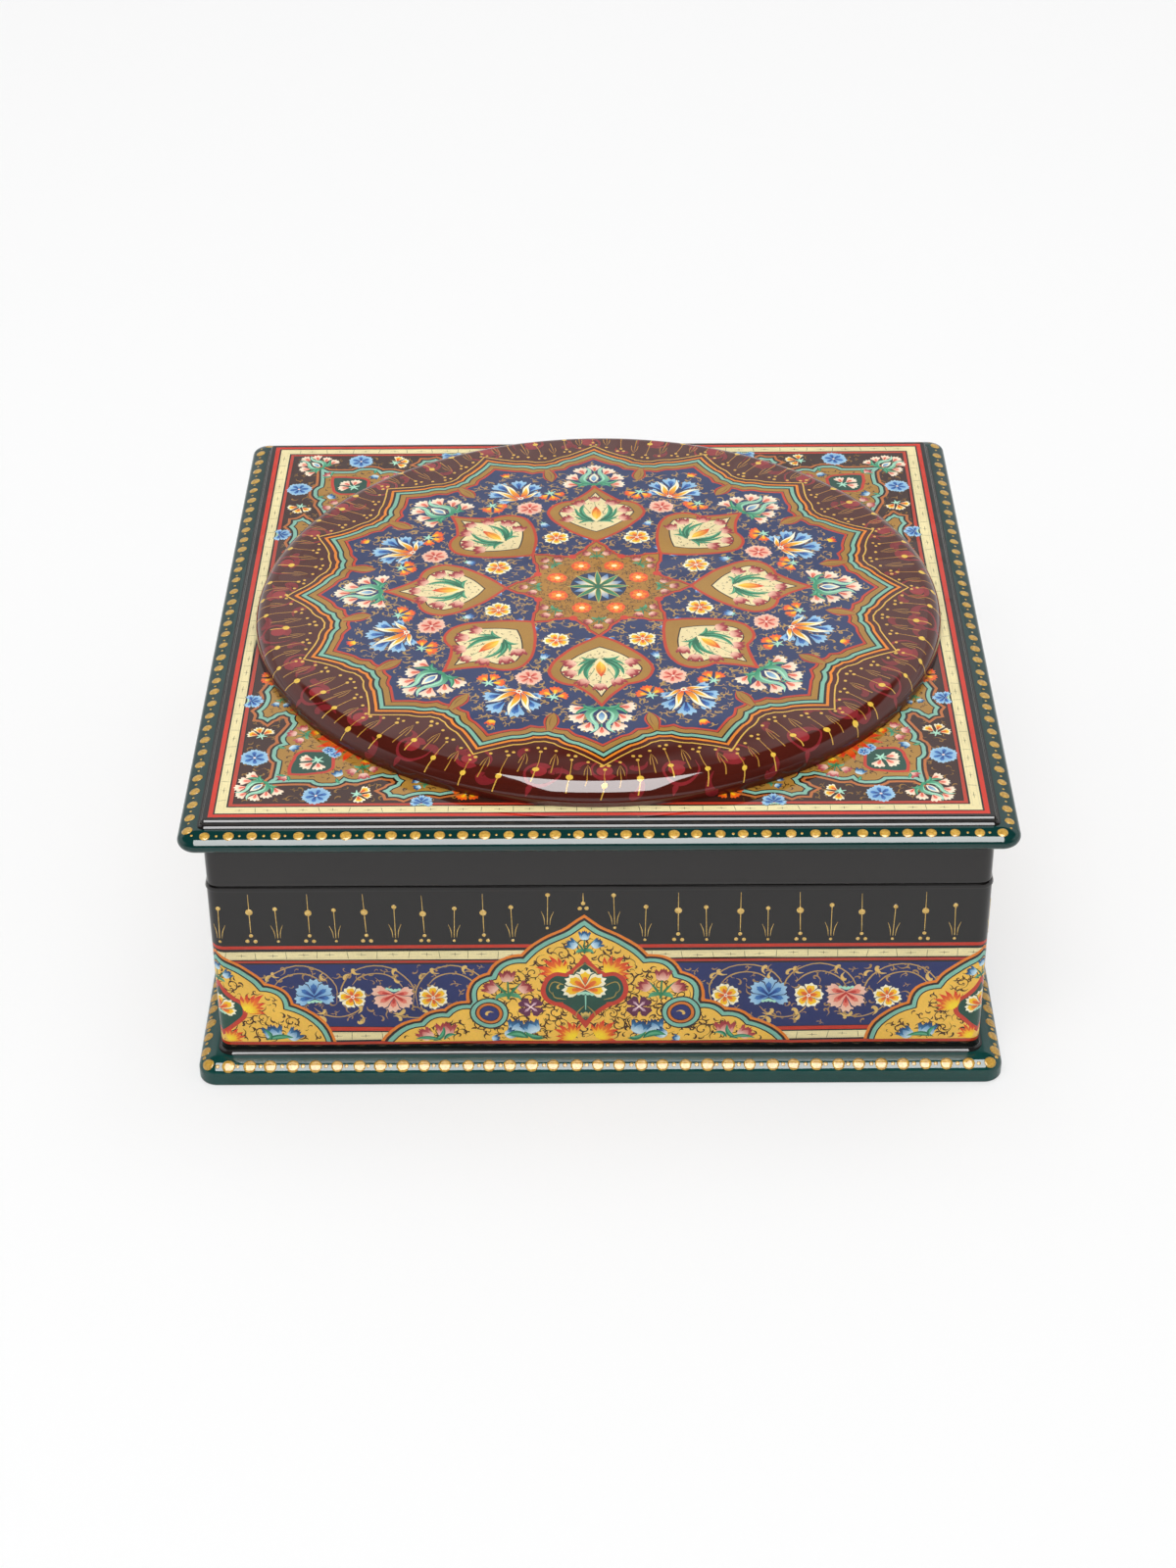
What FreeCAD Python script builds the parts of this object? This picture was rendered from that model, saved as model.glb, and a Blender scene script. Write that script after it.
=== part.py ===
import FreeCAD, Part
import math
import os

# A square papier mache box with a lift-off lid.
# Lengths are in millimetres. X runs along the front, Y from front to back and Z up.
# The origin is the middle of the underside, on the surface that the box stands on.
# Boards are pasted edge to edge and mitred at the corners, so every side is made once,
# on the right, and turned into its four places.

# Base walls
body_width = 189.4
wall_thickness = 4.5
wall_height = 51.2
wall_corner_radius = 3.0
bead_height = 1.3
bead_rise = 0.3

# Foot of the box: floor board and plinth mouldings
plinth_height = 6.2
plinth_overhang = 5.6
plinth_face_height = 3.2
plinth_heel_radius = 0.9
plinth_shoulder_share = 0.8
foot_cove = 0.9

# Rim boards, which line the base and hold the lid in place
rim_thickness = 2.2
rim_rise = 8.0
rim_clearance = 0.3
rim_edge_radius = 0.7

# Lid: skirt boards, top board and nosed mouldings
skirt_inset = 0.2
skirt_height = 13.4
skirt_edge_radius = 0.6
lid_board_thickness = 4.2
lid_overhang = 5.5
nose_drop = 1.8
nose_shoulder_share = 0.72

# Raised panel on the lid
panel_margin = 5.6
panel_thickness = 1.85
panel_edge_share = 0.49
panel_cove_share = 0.49

# Cushion-shaped medallion on the panel
dome_margin = 4.9
dome_height = 7.95
dome_rim_radius = 4.9
dome_belly_height = 1.15

# How hollow a cove is, as a share of its width
cove_sag_share = 0.2

# Levels, from the underside up
seam_level = plinth_height + wall_height
rim_top = seam_level + rim_rise
lid_underside = seam_level + skirt_height
lid_board_top = lid_underside + lid_board_thickness
panel_top = lid_board_top + panel_thickness
dome_top = panel_top + dome_height

# Half widths, from the middle out
wall_outer = body_width / 2
wall_inner = wall_outer - wall_thickness
floor_edge = wall_inner + wall_thickness / 2
plinth_outer = wall_outer + plinth_overhang
rim_outer = wall_inner
rim_inner = rim_outer - rim_thickness
skirt_outer = wall_outer - skirt_inset
skirt_inner = rim_outer + rim_clearance
lid_outer = skirt_outer + lid_overhang
lid_board_edge = (skirt_inner + skirt_outer) / 2
panel_edge_radius = panel_thickness * panel_edge_share
panel_cove = panel_thickness * panel_cove_share
panel_outer = lid_outer - panel_margin
panel_foot = panel_outer + panel_cove
dome_radius = panel_outer - dome_margin

# Corner axes: a section past its axis turns round the corner, and the rest is mitred
wall_corner_axis = wall_outer - wall_corner_radius
plinth_corner_axis = wall_outer + foot_cove
nose_corner_axis = panel_foot
panel_corner_axis = panel_outer - panel_edge_radius

UP = FreeCAD.Vector(0, 0, 1)
HALF_CORNER_DEG = 45
SIDES = {"right": 0, "back": 90, "left": 180, "front": 270}


def at(x, z):
    """A point of a section, which stands in the plane of X and Z."""
    return FreeCAD.Vector(x, 0, z)


def line(start, end):
    return Part.LineSegment(start, end).toShape()


def arc(start, middle, end):
    return Part.Arc(start, middle, end).toShape()


def turn(centre, radius, start_deg, end_deg):
    """An arc given by its centre and its two angles from +X towards +Z."""
    points = []
    for angle in (start_deg, (start_deg + end_deg) / 2, end_deg):
        a = math.radians(angle)
        points.append(centre + at(radius * math.cos(a), radius * math.sin(a)))
    return arc(*points)


def path(*points):
    """Straight edges from point to point."""
    return [line(a, b) for a, b in zip(points, points[1:])]


def section(edges):
    return Part.Face(Part.Wire(edges))


def shoulder(outer, level, top_start, top_level, small_radius):
    """Two tangent arcs: upright at the outer face, level where they meet the top."""
    drop = top_level - level
    reach = outer - small_radius - top_start
    large_radius = (reach**2 + drop**2 - small_radius**2) / (2 * (drop - small_radius))
    small_centre = at(outer - small_radius, level)
    large_centre = at(top_start, top_level - large_radius)
    lean = (small_centre - large_centre).normalize()
    meet_deg = math.degrees(math.atan2(lean.z, lean.x))
    return [turn(small_centre, small_radius, 0, meet_deg), turn(large_centre, large_radius, meet_deg, 90)]


def cove(outer, level, width):
    """A hollow fillet from an upright face down to a level one."""
    top = at(outer, level + width)
    foot = at(outer + width, level)
    middle = (top + foot) * (1 / 2)
    inward = at(-width, -width) * cove_sag_share
    return arc(top, middle + inward, foot)


def wedge(corner_axis, reach, height):
    """The space of the right-hand side, cut by both mitres as far out as the corner axis."""
    outline = Part.makePolygon(
        [
            FreeCAD.Vector(0, 0, -height),
            FreeCAD.Vector(corner_axis, -corner_axis, -height),
            FreeCAD.Vector(reach, -corner_axis, -height),
            FreeCAD.Vector(reach, corner_axis, -height),
            FreeCAD.Vector(corner_axis, corner_axis, -height),
            FreeCAD.Vector(0, 0, -height),
        ]
    )
    return Part.Face(outline).extrude(UP * (2 * height))


def carried(face, corner_axis):
    """A section run along the right-hand side and half-way round both its corners."""
    reach = 2 * plinth_outer
    height = 2 * dome_top
    bar = face.copy()
    bar.translate(FreeCAD.Vector(0, -reach, 0))
    bar = bar.extrude(FreeCAD.Vector(0, 2 * reach, 0))
    side = bar.common(wedge(corner_axis, reach, height))
    past_axis = Part.Face(
        Part.makePolygon(
            [
                at(corner_axis, -height),
                at(reach, -height),
                at(reach, height),
                at(corner_axis, height),
                at(corner_axis, -height),
            ]
        )
    )
    turned = face.common(past_axis)
    for way in (1, -1):
        for part_face in turned.Faces:
            end = part_face.copy()
            end.translate(FreeCAD.Vector(0, way * corner_axis, 0))
            axis_point = FreeCAD.Vector(corner_axis, way * corner_axis, 0)
            side = side.fuse(end.revolve(axis_point, UP, way * HALF_CORNER_DEG))
    return side.removeSplitter()


def mitred(face):
    """A section run along the right-hand side between two full mitres."""
    reach = 2 * plinth_outer
    height = 2 * dome_top
    bar = face.copy()
    bar.translate(FreeCAD.Vector(0, -reach, 0))
    bar = bar.extrude(FreeCAD.Vector(0, 2 * reach, 0))
    return bar.common(wedge(reach, reach, height)).removeSplitter()


def turned_to(shape, angle):
    copy = shape.copy()
    copy.rotate(FreeCAD.Vector(0, 0, 0), UP, angle)
    return copy


def all_round(side):
    """One plate from a side turned into its four places."""
    copies = [turned_to(side, angle) for angle in SIDES.values()]
    return copies[0].multiFuse(copies[1:]).removeSplitter()


def plate(half_width, bottom, top):
    corner = FreeCAD.Vector(-half_width, -half_width, bottom)
    return Part.makeBox(2 * half_width, 2 * half_width, top - bottom, corner)


def base_wall():
    bead_start = seam_level - bead_height
    bead = arc(
        at(wall_outer, bead_start),
        at(wall_outer + bead_rise, seam_level - bead_height / 2),
        at(wall_outer, seam_level),
    )
    edges = path(at(wall_inner, plinth_height), at(wall_outer, plinth_height), at(wall_outer, bead_start))
    edges += [bead]
    edges += path(at(wall_outer, seam_level), at(wall_inner, seam_level), at(wall_inner, plinth_height))
    return carried(section(edges), wall_corner_axis)


def plinth():
    heel_centre = at(plinth_outer - plinth_heel_radius, plinth_heel_radius)
    small_radius = (plinth_height - plinth_face_height) * plinth_shoulder_share
    edges = path(at(floor_edge, 0), at(plinth_outer - plinth_heel_radius, 0))
    edges += [turn(heel_centre, plinth_heel_radius, -90, 0)]
    edges += path(at(plinth_outer, plinth_heel_radius), at(plinth_outer, plinth_face_height))
    edges += shoulder(plinth_outer, plinth_face_height, plinth_corner_axis, plinth_height, small_radius)
    edges += path(at(plinth_corner_axis, plinth_height), at(floor_edge, plinth_height), at(floor_edge, 0))
    moulding = carried(section(edges), plinth_corner_axis)
    fillet_edges = [cove(wall_outer, plinth_height, foot_cove)]
    fillet_edges += path(
        at(wall_outer + foot_cove, plinth_height),
        at(wall_outer, plinth_height),
        at(wall_outer, plinth_height + foot_cove),
    )
    return moulding.fuse(carried(section(fillet_edges), wall_corner_axis)).removeSplitter()


def rim_board():
    shoulder_level = rim_top - rim_edge_radius
    inner_centre = at(rim_inner + rim_edge_radius, shoulder_level)
    outer_centre = at(rim_outer - rim_edge_radius, shoulder_level)
    edges = path(at(rim_inner, shoulder_level), at(rim_inner, plinth_height))
    edges += path(at(rim_inner, plinth_height), at(rim_outer, plinth_height), at(rim_outer, shoulder_level))
    edges += [turn(outer_centre, rim_edge_radius, 0, 90)]
    edges += path(at(rim_outer - rim_edge_radius, rim_top), at(rim_inner + rim_edge_radius, rim_top))
    edges += [turn(inner_centre, rim_edge_radius, 90, 180)]
    return mitred(section(edges))


def lid_skirt():
    edge_centre = at(skirt_outer - skirt_edge_radius, seam_level + skirt_edge_radius)
    edges = path(at(skirt_inner, seam_level), at(skirt_outer - skirt_edge_radius, seam_level))
    edges += [turn(edge_centre, skirt_edge_radius, -90, 0)]
    edges += path(
        at(skirt_outer, seam_level + skirt_edge_radius),
        at(skirt_outer, lid_underside),
        at(skirt_inner, lid_underside),
        at(skirt_inner, seam_level),
    )
    return carried(section(edges), wall_corner_axis)


def lid_moulding():
    nose_level = lid_underside + nose_drop
    small_radius = (lid_board_thickness - nose_drop) * nose_shoulder_share
    edges = path(at(lid_board_edge, lid_underside), at(lid_outer - nose_drop, lid_underside))
    edges += [turn(at(lid_outer - nose_drop, nose_level), nose_drop, -90, 0)]
    edges += shoulder(lid_outer, nose_level, nose_corner_axis, lid_board_top, small_radius)
    edges += path(
        at(nose_corner_axis, lid_board_top),
        at(lid_board_edge, lid_board_top),
        at(lid_board_edge, lid_underside),
    )
    return carried(section(edges), nose_corner_axis)


def lid_panel():
    round_level = panel_top - panel_edge_radius
    round_centre = at(panel_outer - panel_edge_radius, round_level)
    cove_top = lid_board_top + panel_cove
    edges = path(at(0, panel_top), at(0, lid_board_top), at(panel_foot, lid_board_top))
    edges += [cove(panel_outer, lid_board_top, panel_cove)]
    edges += path(at(panel_outer, cove_top), at(panel_outer, round_level))
    edges += [turn(round_centre, panel_edge_radius, 0, 90)]
    edges += path(at(panel_corner_axis, panel_top), at(0, panel_top))
    return all_round(carried(section(edges), panel_corner_axis))


def lid_dome():
    belly_level = panel_top + dome_belly_height
    belly_deg = math.degrees(math.asin(dome_belly_height / dome_rim_radius))
    rim_centre = at(dome_radius - dome_rim_radius, belly_level)
    tuck = dome_rim_radius * (1 - math.cos(math.radians(belly_deg)))
    edges = path(at(0, dome_top), at(0, panel_top), at(dome_radius - tuck, panel_top))
    edges += [turn(rim_centre, dome_rim_radius, -belly_deg, 0)]
    edges += shoulder(dome_radius, belly_level, 0, dome_top, dome_rim_radius)
    return section(edges).revolve(FreeCAD.Vector(0, 0, 0), UP, 360)


def write(name, shape):
    solids = shape.Solids
    if len(solids) != 1 or not solids[0].isValid():
        raise ValueError(f"{name} is not one valid solid")
    solids[0].exportStep(f"parts/{name}.step")
    print(name, "volume", round(solids[0].Volume), "mm3")


def main():
    os.makedirs("parts", exist_ok=True)
    four_sided = {
        "plinth": plinth(),
        "base_wall": base_wall(),
        "rim_board": rim_board(),
        "lid_skirt": lid_skirt(),
        "lid_moulding": lid_moulding(),
    }
    for name, side in four_sided.items():
        for place, angle in SIDES.items():
            write(f"{name}_{place}", turned_to(side, angle))
    write("base_floor", plate(floor_edge, 0, plinth_height))
    write("lid_board", plate(lid_board_edge, lid_underside, lid_board_top))
    write("lid_panel", lid_panel())
    write("lid_dome", lid_dome())


main()
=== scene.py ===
# %% [markdown]
# # A painted papier mache box
# The box is a square casket with a lid that lifts straight off. Paper pulp and board are
# glued up, smoothed, painted with a fine brush and varnished until the paint seems to lie
# under glass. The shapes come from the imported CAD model, which is loaded here as a frame.
# Everything below is about the skin of the box: its paint, its gold and its varnish.

# %% Load the frame
import bpy
import math
import random
import numpy as np
from mathutils import Matrix, Vector
from mathutils.geometry import delaunay_2d_cdt, tessellate_polygon


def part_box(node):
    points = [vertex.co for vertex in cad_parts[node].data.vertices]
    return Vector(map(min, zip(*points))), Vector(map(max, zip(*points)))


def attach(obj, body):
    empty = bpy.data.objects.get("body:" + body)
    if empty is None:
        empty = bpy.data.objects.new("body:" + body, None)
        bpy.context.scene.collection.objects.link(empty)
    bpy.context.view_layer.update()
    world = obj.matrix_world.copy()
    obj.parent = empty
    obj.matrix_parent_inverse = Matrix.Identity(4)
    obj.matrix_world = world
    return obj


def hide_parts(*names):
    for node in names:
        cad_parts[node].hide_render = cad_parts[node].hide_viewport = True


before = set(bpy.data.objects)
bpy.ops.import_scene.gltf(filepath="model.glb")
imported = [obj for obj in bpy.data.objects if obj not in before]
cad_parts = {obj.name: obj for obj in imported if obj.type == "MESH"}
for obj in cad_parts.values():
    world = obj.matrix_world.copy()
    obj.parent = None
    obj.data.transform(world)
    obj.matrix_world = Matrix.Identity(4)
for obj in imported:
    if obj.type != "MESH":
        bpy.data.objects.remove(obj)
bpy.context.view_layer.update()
MM = 0.001

# %% [markdown]
# ## Sizes
# The painted skins follow the CAD solids, so their sizes are read from the solids' boxes.
# Only the bead, the boards' thickness and the roundings, which a box cannot tell, are
# written down here.
# All drawing is done in millimetres and turned to metres at the end.

# %% Read the sizes of the solids


def top_of(name):
    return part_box(name)[1][2] / MM


def reach_of(name):
    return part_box(name)[1][0] / MM


bead_rise, bead_height = 0.3, 1.3
board_thickness = 4.5
wall_out = reach_of("base_wall_right") - bead_rise
wall_in = wall_out - board_thickness
wall_round = 3.0
wall_axis = wall_out - wall_round
wall_foot = top_of("base_floor")
seam = top_of("base_wall_right")
skirt_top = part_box("lid_board")[0][2] / MM
board_top = top_of("lid_board")
panel_top = top_of("lid_panel")
dome_top = top_of("lid_dome")
dome_radius = reach_of("lid_dome")
plinth_out = reach_of("plinth_right")
lid_out = reach_of("lid_moulding_right")
print("wall", wall_out, "seam", seam, "panel", panel_top, "dome", dome_top, dome_radius)

# %% [markdown]
# ## Camera
# The photograph looks down on the box at about 34 degrees, from the middle of its front.
# A lens of 68 mm on a frame 36 mm high keeps the same mild perspective.

# %% Stand the camera where the photographer stood
pitch, roll, yaw = math.radians(34.478), math.radians(-0.516), math.radians(-0.412)
stand_point = (1.712, -669.168, 481.738)
level = Vector((math.sin(yaw), math.cos(yaw), 0))
side = Vector((math.cos(yaw), -math.sin(yaw), 0))
ahead = level * math.cos(pitch) - Vector((0, 0, math.sin(pitch)))
above = level * math.sin(pitch) + Vector((0, 0, math.cos(pitch)))
right = side * math.cos(roll) + above * math.sin(roll)
up = above * math.cos(roll) - side * math.sin(roll)


def stand(name, data):
    """A new object in the scene, at the origin and unturned."""
    thing = bpy.data.objects.new(name, data)
    bpy.context.scene.collection.objects.link(thing)
    return thing


camera = stand("camera", bpy.data.cameras.new("camera"))
camera.data.lens = 68.26
camera.data.sensor_width = 36
camera.data.clip_start = 0.05
camera.matrix_world = Matrix(
    [(right[i], up[i], -ahead[i], stand_point[i] * MM) for i in range(3)] + [(0, 0, 0, 1)])
bpy.context.scene.camera = camera
bpy.context.scene.view_settings.view_transform = "Standard"
print("camera at", [round(v, 3) for v in camera.matrix_world.translation])

# %% [markdown]
# ## Colours and nodes
# Colours are written as sRGB hex, the way a painter would match them on a screen, and one
# function turns them to the linear values that a renderer adds up. One more small function
# adds a node with its settings and its links, and a third empties a node tree before it is built.

# %% Three small helpers


def linear(code):
    parts = [int(code[i:i + 2], 16) / 255 for i in (1, 3, 5)]
    return tuple(p / 12.92 if p <= 0.04045 else ((p + 0.055) / 1.055) ** 2.4 for p in parts)


def add(tree, kind, inputs=None, **settings):
    """A new node. Inputs are values or the output sockets of other nodes."""
    node = tree.nodes.new(kind)
    for key, value in settings.items():
        setattr(node, key, value)
    for key, value in (inputs or {}).items():
        if isinstance(value, bpy.types.NodeSocket):
            tree.links.new(value, node.inputs[key])
        else:
            node.inputs[key].default_value = value
    return node


def bare_tree(owner):
    """The node tree of a material or a world, without the nodes that it starts with."""
    owner.use_nodes = True
    owner.node_tree.nodes.clear()
    return owner.node_tree


print("a red in linear light:", [round(v, 3) for v in linear("#d8431b")])

# %% [markdown]
# ## How the painting is made
# On the real box a painter lays flat shapes over each other with a fine brush: the ground,
# then scrolls, then petals from large to small. The drawing here works the same way. Every
# brush mark is a closed outline on flat paper, in millimetres, kept in painting order. A
# constrained triangulation then cuts the sheet along every outline, each triangle takes the
# paint of the last mark that covers it, and the sheet is wrapped on the solid. So the paint
# is part of one closed skin, sharp at any distance, and no image is needed. Points are
# complex numbers, because turning and scaling are then one multiplication.

# %% Marks and their fills


def flat(code):
    return (code, code, 0, 1)


def fade(start, end, a=0, b=1j):
    """Paint that changes evenly from one colour at a to another at b."""
    return (start, end, a, b)


def moved(marks, at=0, turn=0, size=1, flip=False):
    """Copies of marks, turned by degrees, scaled and put in place."""
    spin = size * np.exp(1j * math.radians(turn))
    done = []
    for points, (start, end, a, b) in marks:
        if flip:
            points, a, b = -np.conj(points), -np.conj(a), -np.conj(b)
        done.append((points * spin + at, (start, end, a * spin + at, b * spin + at)))
    return done


def placed(items, flip=False):
    """The marks of (motif, spot, angle) items, all mirrored left to right if asked."""
    marks = []
    for motif, spot, angle in items:
        marks += moved(motif, spot, angle)
    return moved(marks, flip=True) if flip else marks


print("a flat red:", flat("#d8431b"))

# %% Lines and brush strokes
finest_hair = 0.012


def smooth(points, steps=5):
    """A smooth line through the points."""
    p = np.array(points, complex)
    q = np.concatenate([[2 * p[0] - p[1]], p, [2 * p[-1] - p[-2]]])
    t = np.linspace(0, 1, steps, endpoint=False)[:, None]
    a, b, c, d = q[:-3], q[1:-2], q[2:-1], q[3:]
    line = 0.5 * (2 * b + (c - a) * t + (2 * a - 5 * b + 4 * c - d) * t**2 + (3 * b - 3 * c + d - a) * t**3)
    return np.append(line.T.ravel(), p[-1])


def disc(at=0, r=1, n=14):
    return at + r * np.exp(2j * np.pi * np.arange(n) / n)


def brush(points, widths, steps=5):
    """One stroke of a pointed brush along a smooth line; the widths run evenly along it."""
    line = smooth(points, steps)
    way = np.gradient(line)
    out = 1j * way / np.maximum(abs(way), 1e-9)
    swell = smooth(widths, 5).real
    w = np.interp(np.linspace(0, 1, len(line)), np.linspace(0, 1, len(swell)), swell) / 2
    w = np.maximum(w, finest_hair)
    return np.concatenate([line + out * w, (line - out * w)[::-1]])


def leaf(a, b, width, bend=0.0, steps=3):
    """A pointed leaf from a to b that bends to the left by a share of its length."""
    mid = (a + b) / 2 + 1j * (b - a) * bend
    q1 = (a + mid) / 2 + 1j * (b - a) * bend * 0.25
    q3 = (b + mid) / 2 + 1j * (b - a) * bend * 0.25
    return brush([a, q1, mid, q3, b], [0, width * 0.8, width, width * 0.68, 0], steps)


def fan(width, teeth=3, depth=0.2, shoulder=0.6, waist=0.14, steps=3):
    """A petal that grows from 0 up to 1j, with a toothed far edge."""
    flank = smooth([waist / 2, width * 0.27 + 0.3j * shoulder / 0.6, width / 2 + shoulder * 1j], steps)
    k = np.arange(1, 2 * teeth)
    tau = k / (2 * teeth)
    edge = width / 2 * np.cos(np.pi * tau) + 1j * (shoulder + (1 - shoulder) * np.sin(np.pi * tau) ** 0.8)
    edge = 0.3j + (edge - 0.3j) * np.where(k % 2 == 1, 1, 1 - depth)
    return np.concatenate([flank, edge, -np.conj(flank[::-1])])


def arcs(corners, bulges, steps=6, closed=True):
    """Corner points joined by curves, each bulging to the right by a share of its length."""
    line = []
    ends = corners[1:] + corners[:1] if closed else corners[1:]
    for a, b, bulge in zip(corners, ends, bulges):
        t = np.linspace(0, 1, steps, endpoint=False)
        line.append(a + (b - a) * (t - 4j * bulge * t * (1 - t)))
    if not closed:
        line.append(np.array([corners[-1]], complex))
    return np.concatenate(line)


def both_halves(half, bulges, steps=6):
    """A closed outline of arcs from its right half, given from one point on the axis to the other."""
    return arcs(half + [-p.conjugate() for p in half[-2:0:-1]], bulges + bulges[::-1], steps)


print("a five-toothed petal has", len(fan(0.8, 5)), "points")

# %% Outlines: inside, beside and untangled


def dense(outline, gap=0.5):
    """The closed outline with extra points, so that none are further apart than gap."""
    ends = np.roll(outline, -1)
    parts = [a + (b - a) * np.arange(n) / n for a, b, n in
             zip(outline, ends, np.maximum(1, np.ceil(abs(ends - outline) / gap)).astype(int))]
    return np.concatenate(parts)


def area(outline):
    return 0.5 * np.sum((np.conj(outline) * np.roll(outline, -1)).imag)


def untangled(outline):
    """The outline without the small loops where it crosses itself."""
    while True:
        a, b = outline, np.roll(outline, -1)
        way = (b - a)[:, None]
        start = (np.conj(way) * (a[None] - a[:, None])).imag
        end = (np.conj(way) * (b[None] - a[:, None])).imag
        side = start * end < 0
        first, second = np.nonzero(np.triu(side & side.T, 2))
        if not len(first):
            return outline
        i, j = first[0], second[0]
        far = (np.conj(way[j, 0]) * (a[j] - a[i])).imag / (np.conj(way[j, 0]) * way[i, 0]).imag
        meet = [a[i] + far * way[i, 0]]
        loop = j - i < len(outline) / 2
        outline = np.concatenate([a[:i + 1], meet, a[j + 1:]] if loop else [a[i + 1:j + 1], meet])


def parallel(outline, distance, gap=0.5):
    """The outline moved outwards by a distance, or inwards by a negative one, without loops."""
    line = dense(outline if area(outline) > 0 else outline[::-1], gap)
    before, after = line - np.roll(line, 1), np.roll(line, -1) - line
    n0, n1 = -1j * before / abs(before), -1j * after / abs(after)
    mid = n0 + n1
    mid = mid / np.maximum(abs(mid), 1e-6)
    # a sharp corner moves a little further than the rest, but never runs out to a spike
    reach = np.minimum(1 / np.maximum((mid * np.conj(n0)).real, 0.3), 1.6)
    moved_line = line + distance * mid * reach
    keep = np.ones(len(line), bool)
    # a point that ends up nearer to the line than the distance lies in a loop and is left out
    a, step = line, np.roll(line, -1) - line
    for i, p in enumerate(moved_line):
        t = np.clip(((p - a) * np.conj(step)).real / abs(step) ** 2, 0, 1)
        keep[i] = np.min(abs(p - (a + step * t))) > abs(distance) * 0.985 - 0.01
    return untangled(moved_line[keep])


def simpler(outline, slack=0.018):
    """The outline without the points that hardly bend it."""
    for _ in range(3):
        before, chord = np.roll(outline, 1), np.roll(outline, -1) - np.roll(outline, 1)
        off = abs(((outline - before) * np.conj(chord)).imag) / np.maximum(abs(chord), 1e-9)
        keep = (off > slack) | (np.arange(len(outline)) % 2 == 0)
        if keep.sum() < 3:
            break
        outline = outline[keep]
    return outline


def within(outline, points):
    """Which of the points lie inside the outline."""
    x, y = np.real(points)[:, None], np.imag(points)[:, None]
    a, b = outline[None, :], np.roll(outline, -1)[None, :]
    crosses = (a.imag > y) != (b.imag > y)
    rise = np.where(b.imag == a.imag, 1e-12, b.imag - a.imag)
    hit = crosses & (x < (b.real - a.real) * (y - a.imag) / rise + a.real)
    return hit.sum(axis=1) % 2 == 1


print("a petal's area is", round(float(area(fan(0.8, 5))), 2), "and half a unit further out",
      round(float(area(parallel(fan(0.8, 5), 0.5))), 2))

# %% Cut a sheet along its marks and give each piece its paint


def cut_sheet(marks, lines=()):
    """Triangles of the sheet. The first mark is the sheet itself. Returns corners and colours."""
    points, faces, edges = [], [], []
    for outline, _ in marks:
        outline = simpler(outline if area(outline) > 0 else outline[::-1])
        faces.append(list(range(len(points), len(points) + len(outline))))
        points.extend(outline)
    for line in lines:
        edges += [(len(points) + i, len(points) + i + 1) for i in range(len(line) - 1)]
        points.extend(line)
    vectors = [Vector((p.real, p.imag)) for p in points]
    verts, _, tris, _, _, covers = delaunay_2d_cdt(vectors, edges, faces, 1, 1e-5, True)
    top = np.array([max(c) if c and 0 in c else -1 for c in covers])
    keep = top >= 0
    flat_points = np.array([complex(v.x, v.y) for v in verts])
    corners = np.array([t[:3] for t in tris])[keep]
    top = top[keep]
    codes = sorted({c for _, fill in marks for c in fill[:2]})
    table = np.array([linear(c) for c in codes])
    index = {c: i for i, c in enumerate(codes)}
    first = table[[index[f[0]] for _, f in marks]][top]
    last = table[[index[f[1]] for _, f in marks]][top]
    a = np.array([f[2] for _, f in marks], complex)[top][:, None]
    b = np.array([f[3] for _, f in marks], complex)[top][:, None]
    at = flat_points[corners]
    share = np.clip(((at - a) * np.conj(b - a)).real / abs(b - a) ** 2, 0, 1)[..., None]
    colours = first[:, None] * (1 - share) + last[:, None] * share
    return flat_points, corners, colours


def waver(points, seed, amount=0.16):
    """The small unsteadiness of a hand: a slow wave that moves points by part of a millimetre."""
    rng = np.random.default_rng(seed)
    shift = np.zeros(len(points), complex)
    for size in (41, 23, 13, 7.5):
        for _ in range(3):
            way = np.exp(1j * rng.uniform(0, 2 * np.pi)) * 2 * np.pi / size
            push = np.exp(1j * rng.uniform(0, 2 * np.pi)) * amount * (size / 23) ** 0.5 / 2
            shift += push * np.sin((points * np.conj(way)).real + rng.uniform(0, 2 * np.pi))
    return shift


print("a hand wavers by up to", round(float(abs(waver(np.arange(0.0, 90.0), 1)).max()), 2), "mm")

# %% [markdown]
# ## From flat triangles to a closed piece
# A piece is gathered as loose triangles that know their corners, their true surface normals
# and their paint. Corners that fall on one spot are joined, triangles with no area drop out,
# and every triangle is turned to face the way its normals point.

# %% Grids, covers and edges


def one_paint(code, corners):
    """The same paint at every corner of some triangles."""
    return np.broadcast_to(np.array(linear(code)), corners.shape)


def grid(points, normals, colour):
    """Triangles of a grid of points, as corner positions, normals and colours."""
    quads = []
    for array in (points, normals):
        a, b, c, d = array[:-1, :-1], array[1:, :-1], array[1:, 1:], array[:-1, 1:]
        quads.append(np.concatenate([np.stack([a, b, c], 2).reshape(-1, 3, 3),
                                     np.stack([a, c, d], 2).reshape(-1, 3, 3)]))
    return quads[0], quads[1], one_paint(colour, quads[0])


def cap(rim, centre, normal, colour):
    """A flat cover: each edge of the rim, given as pairs of points, joined to a centre."""
    tris = np.concatenate([rim, np.broadcast_to(centre, (len(rim), 1, 3))], 1)
    return tris, np.broadcast_to(normal, tris.shape), one_paint(colour, tris)


def open_edges(corners):
    """Edges that only one triangle uses."""
    pairs = np.concatenate([corners[:, [0, 1]], corners[:, [1, 2]], corners[:, [2, 0]]])
    sides = np.sort(pairs, 1).astype(np.int64)
    _, first, count = np.unique(sides[:, 0] * 2**31 + sides[:, 1], return_index=True, return_counts=True)
    return pairs[first[count == 1]]


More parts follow.
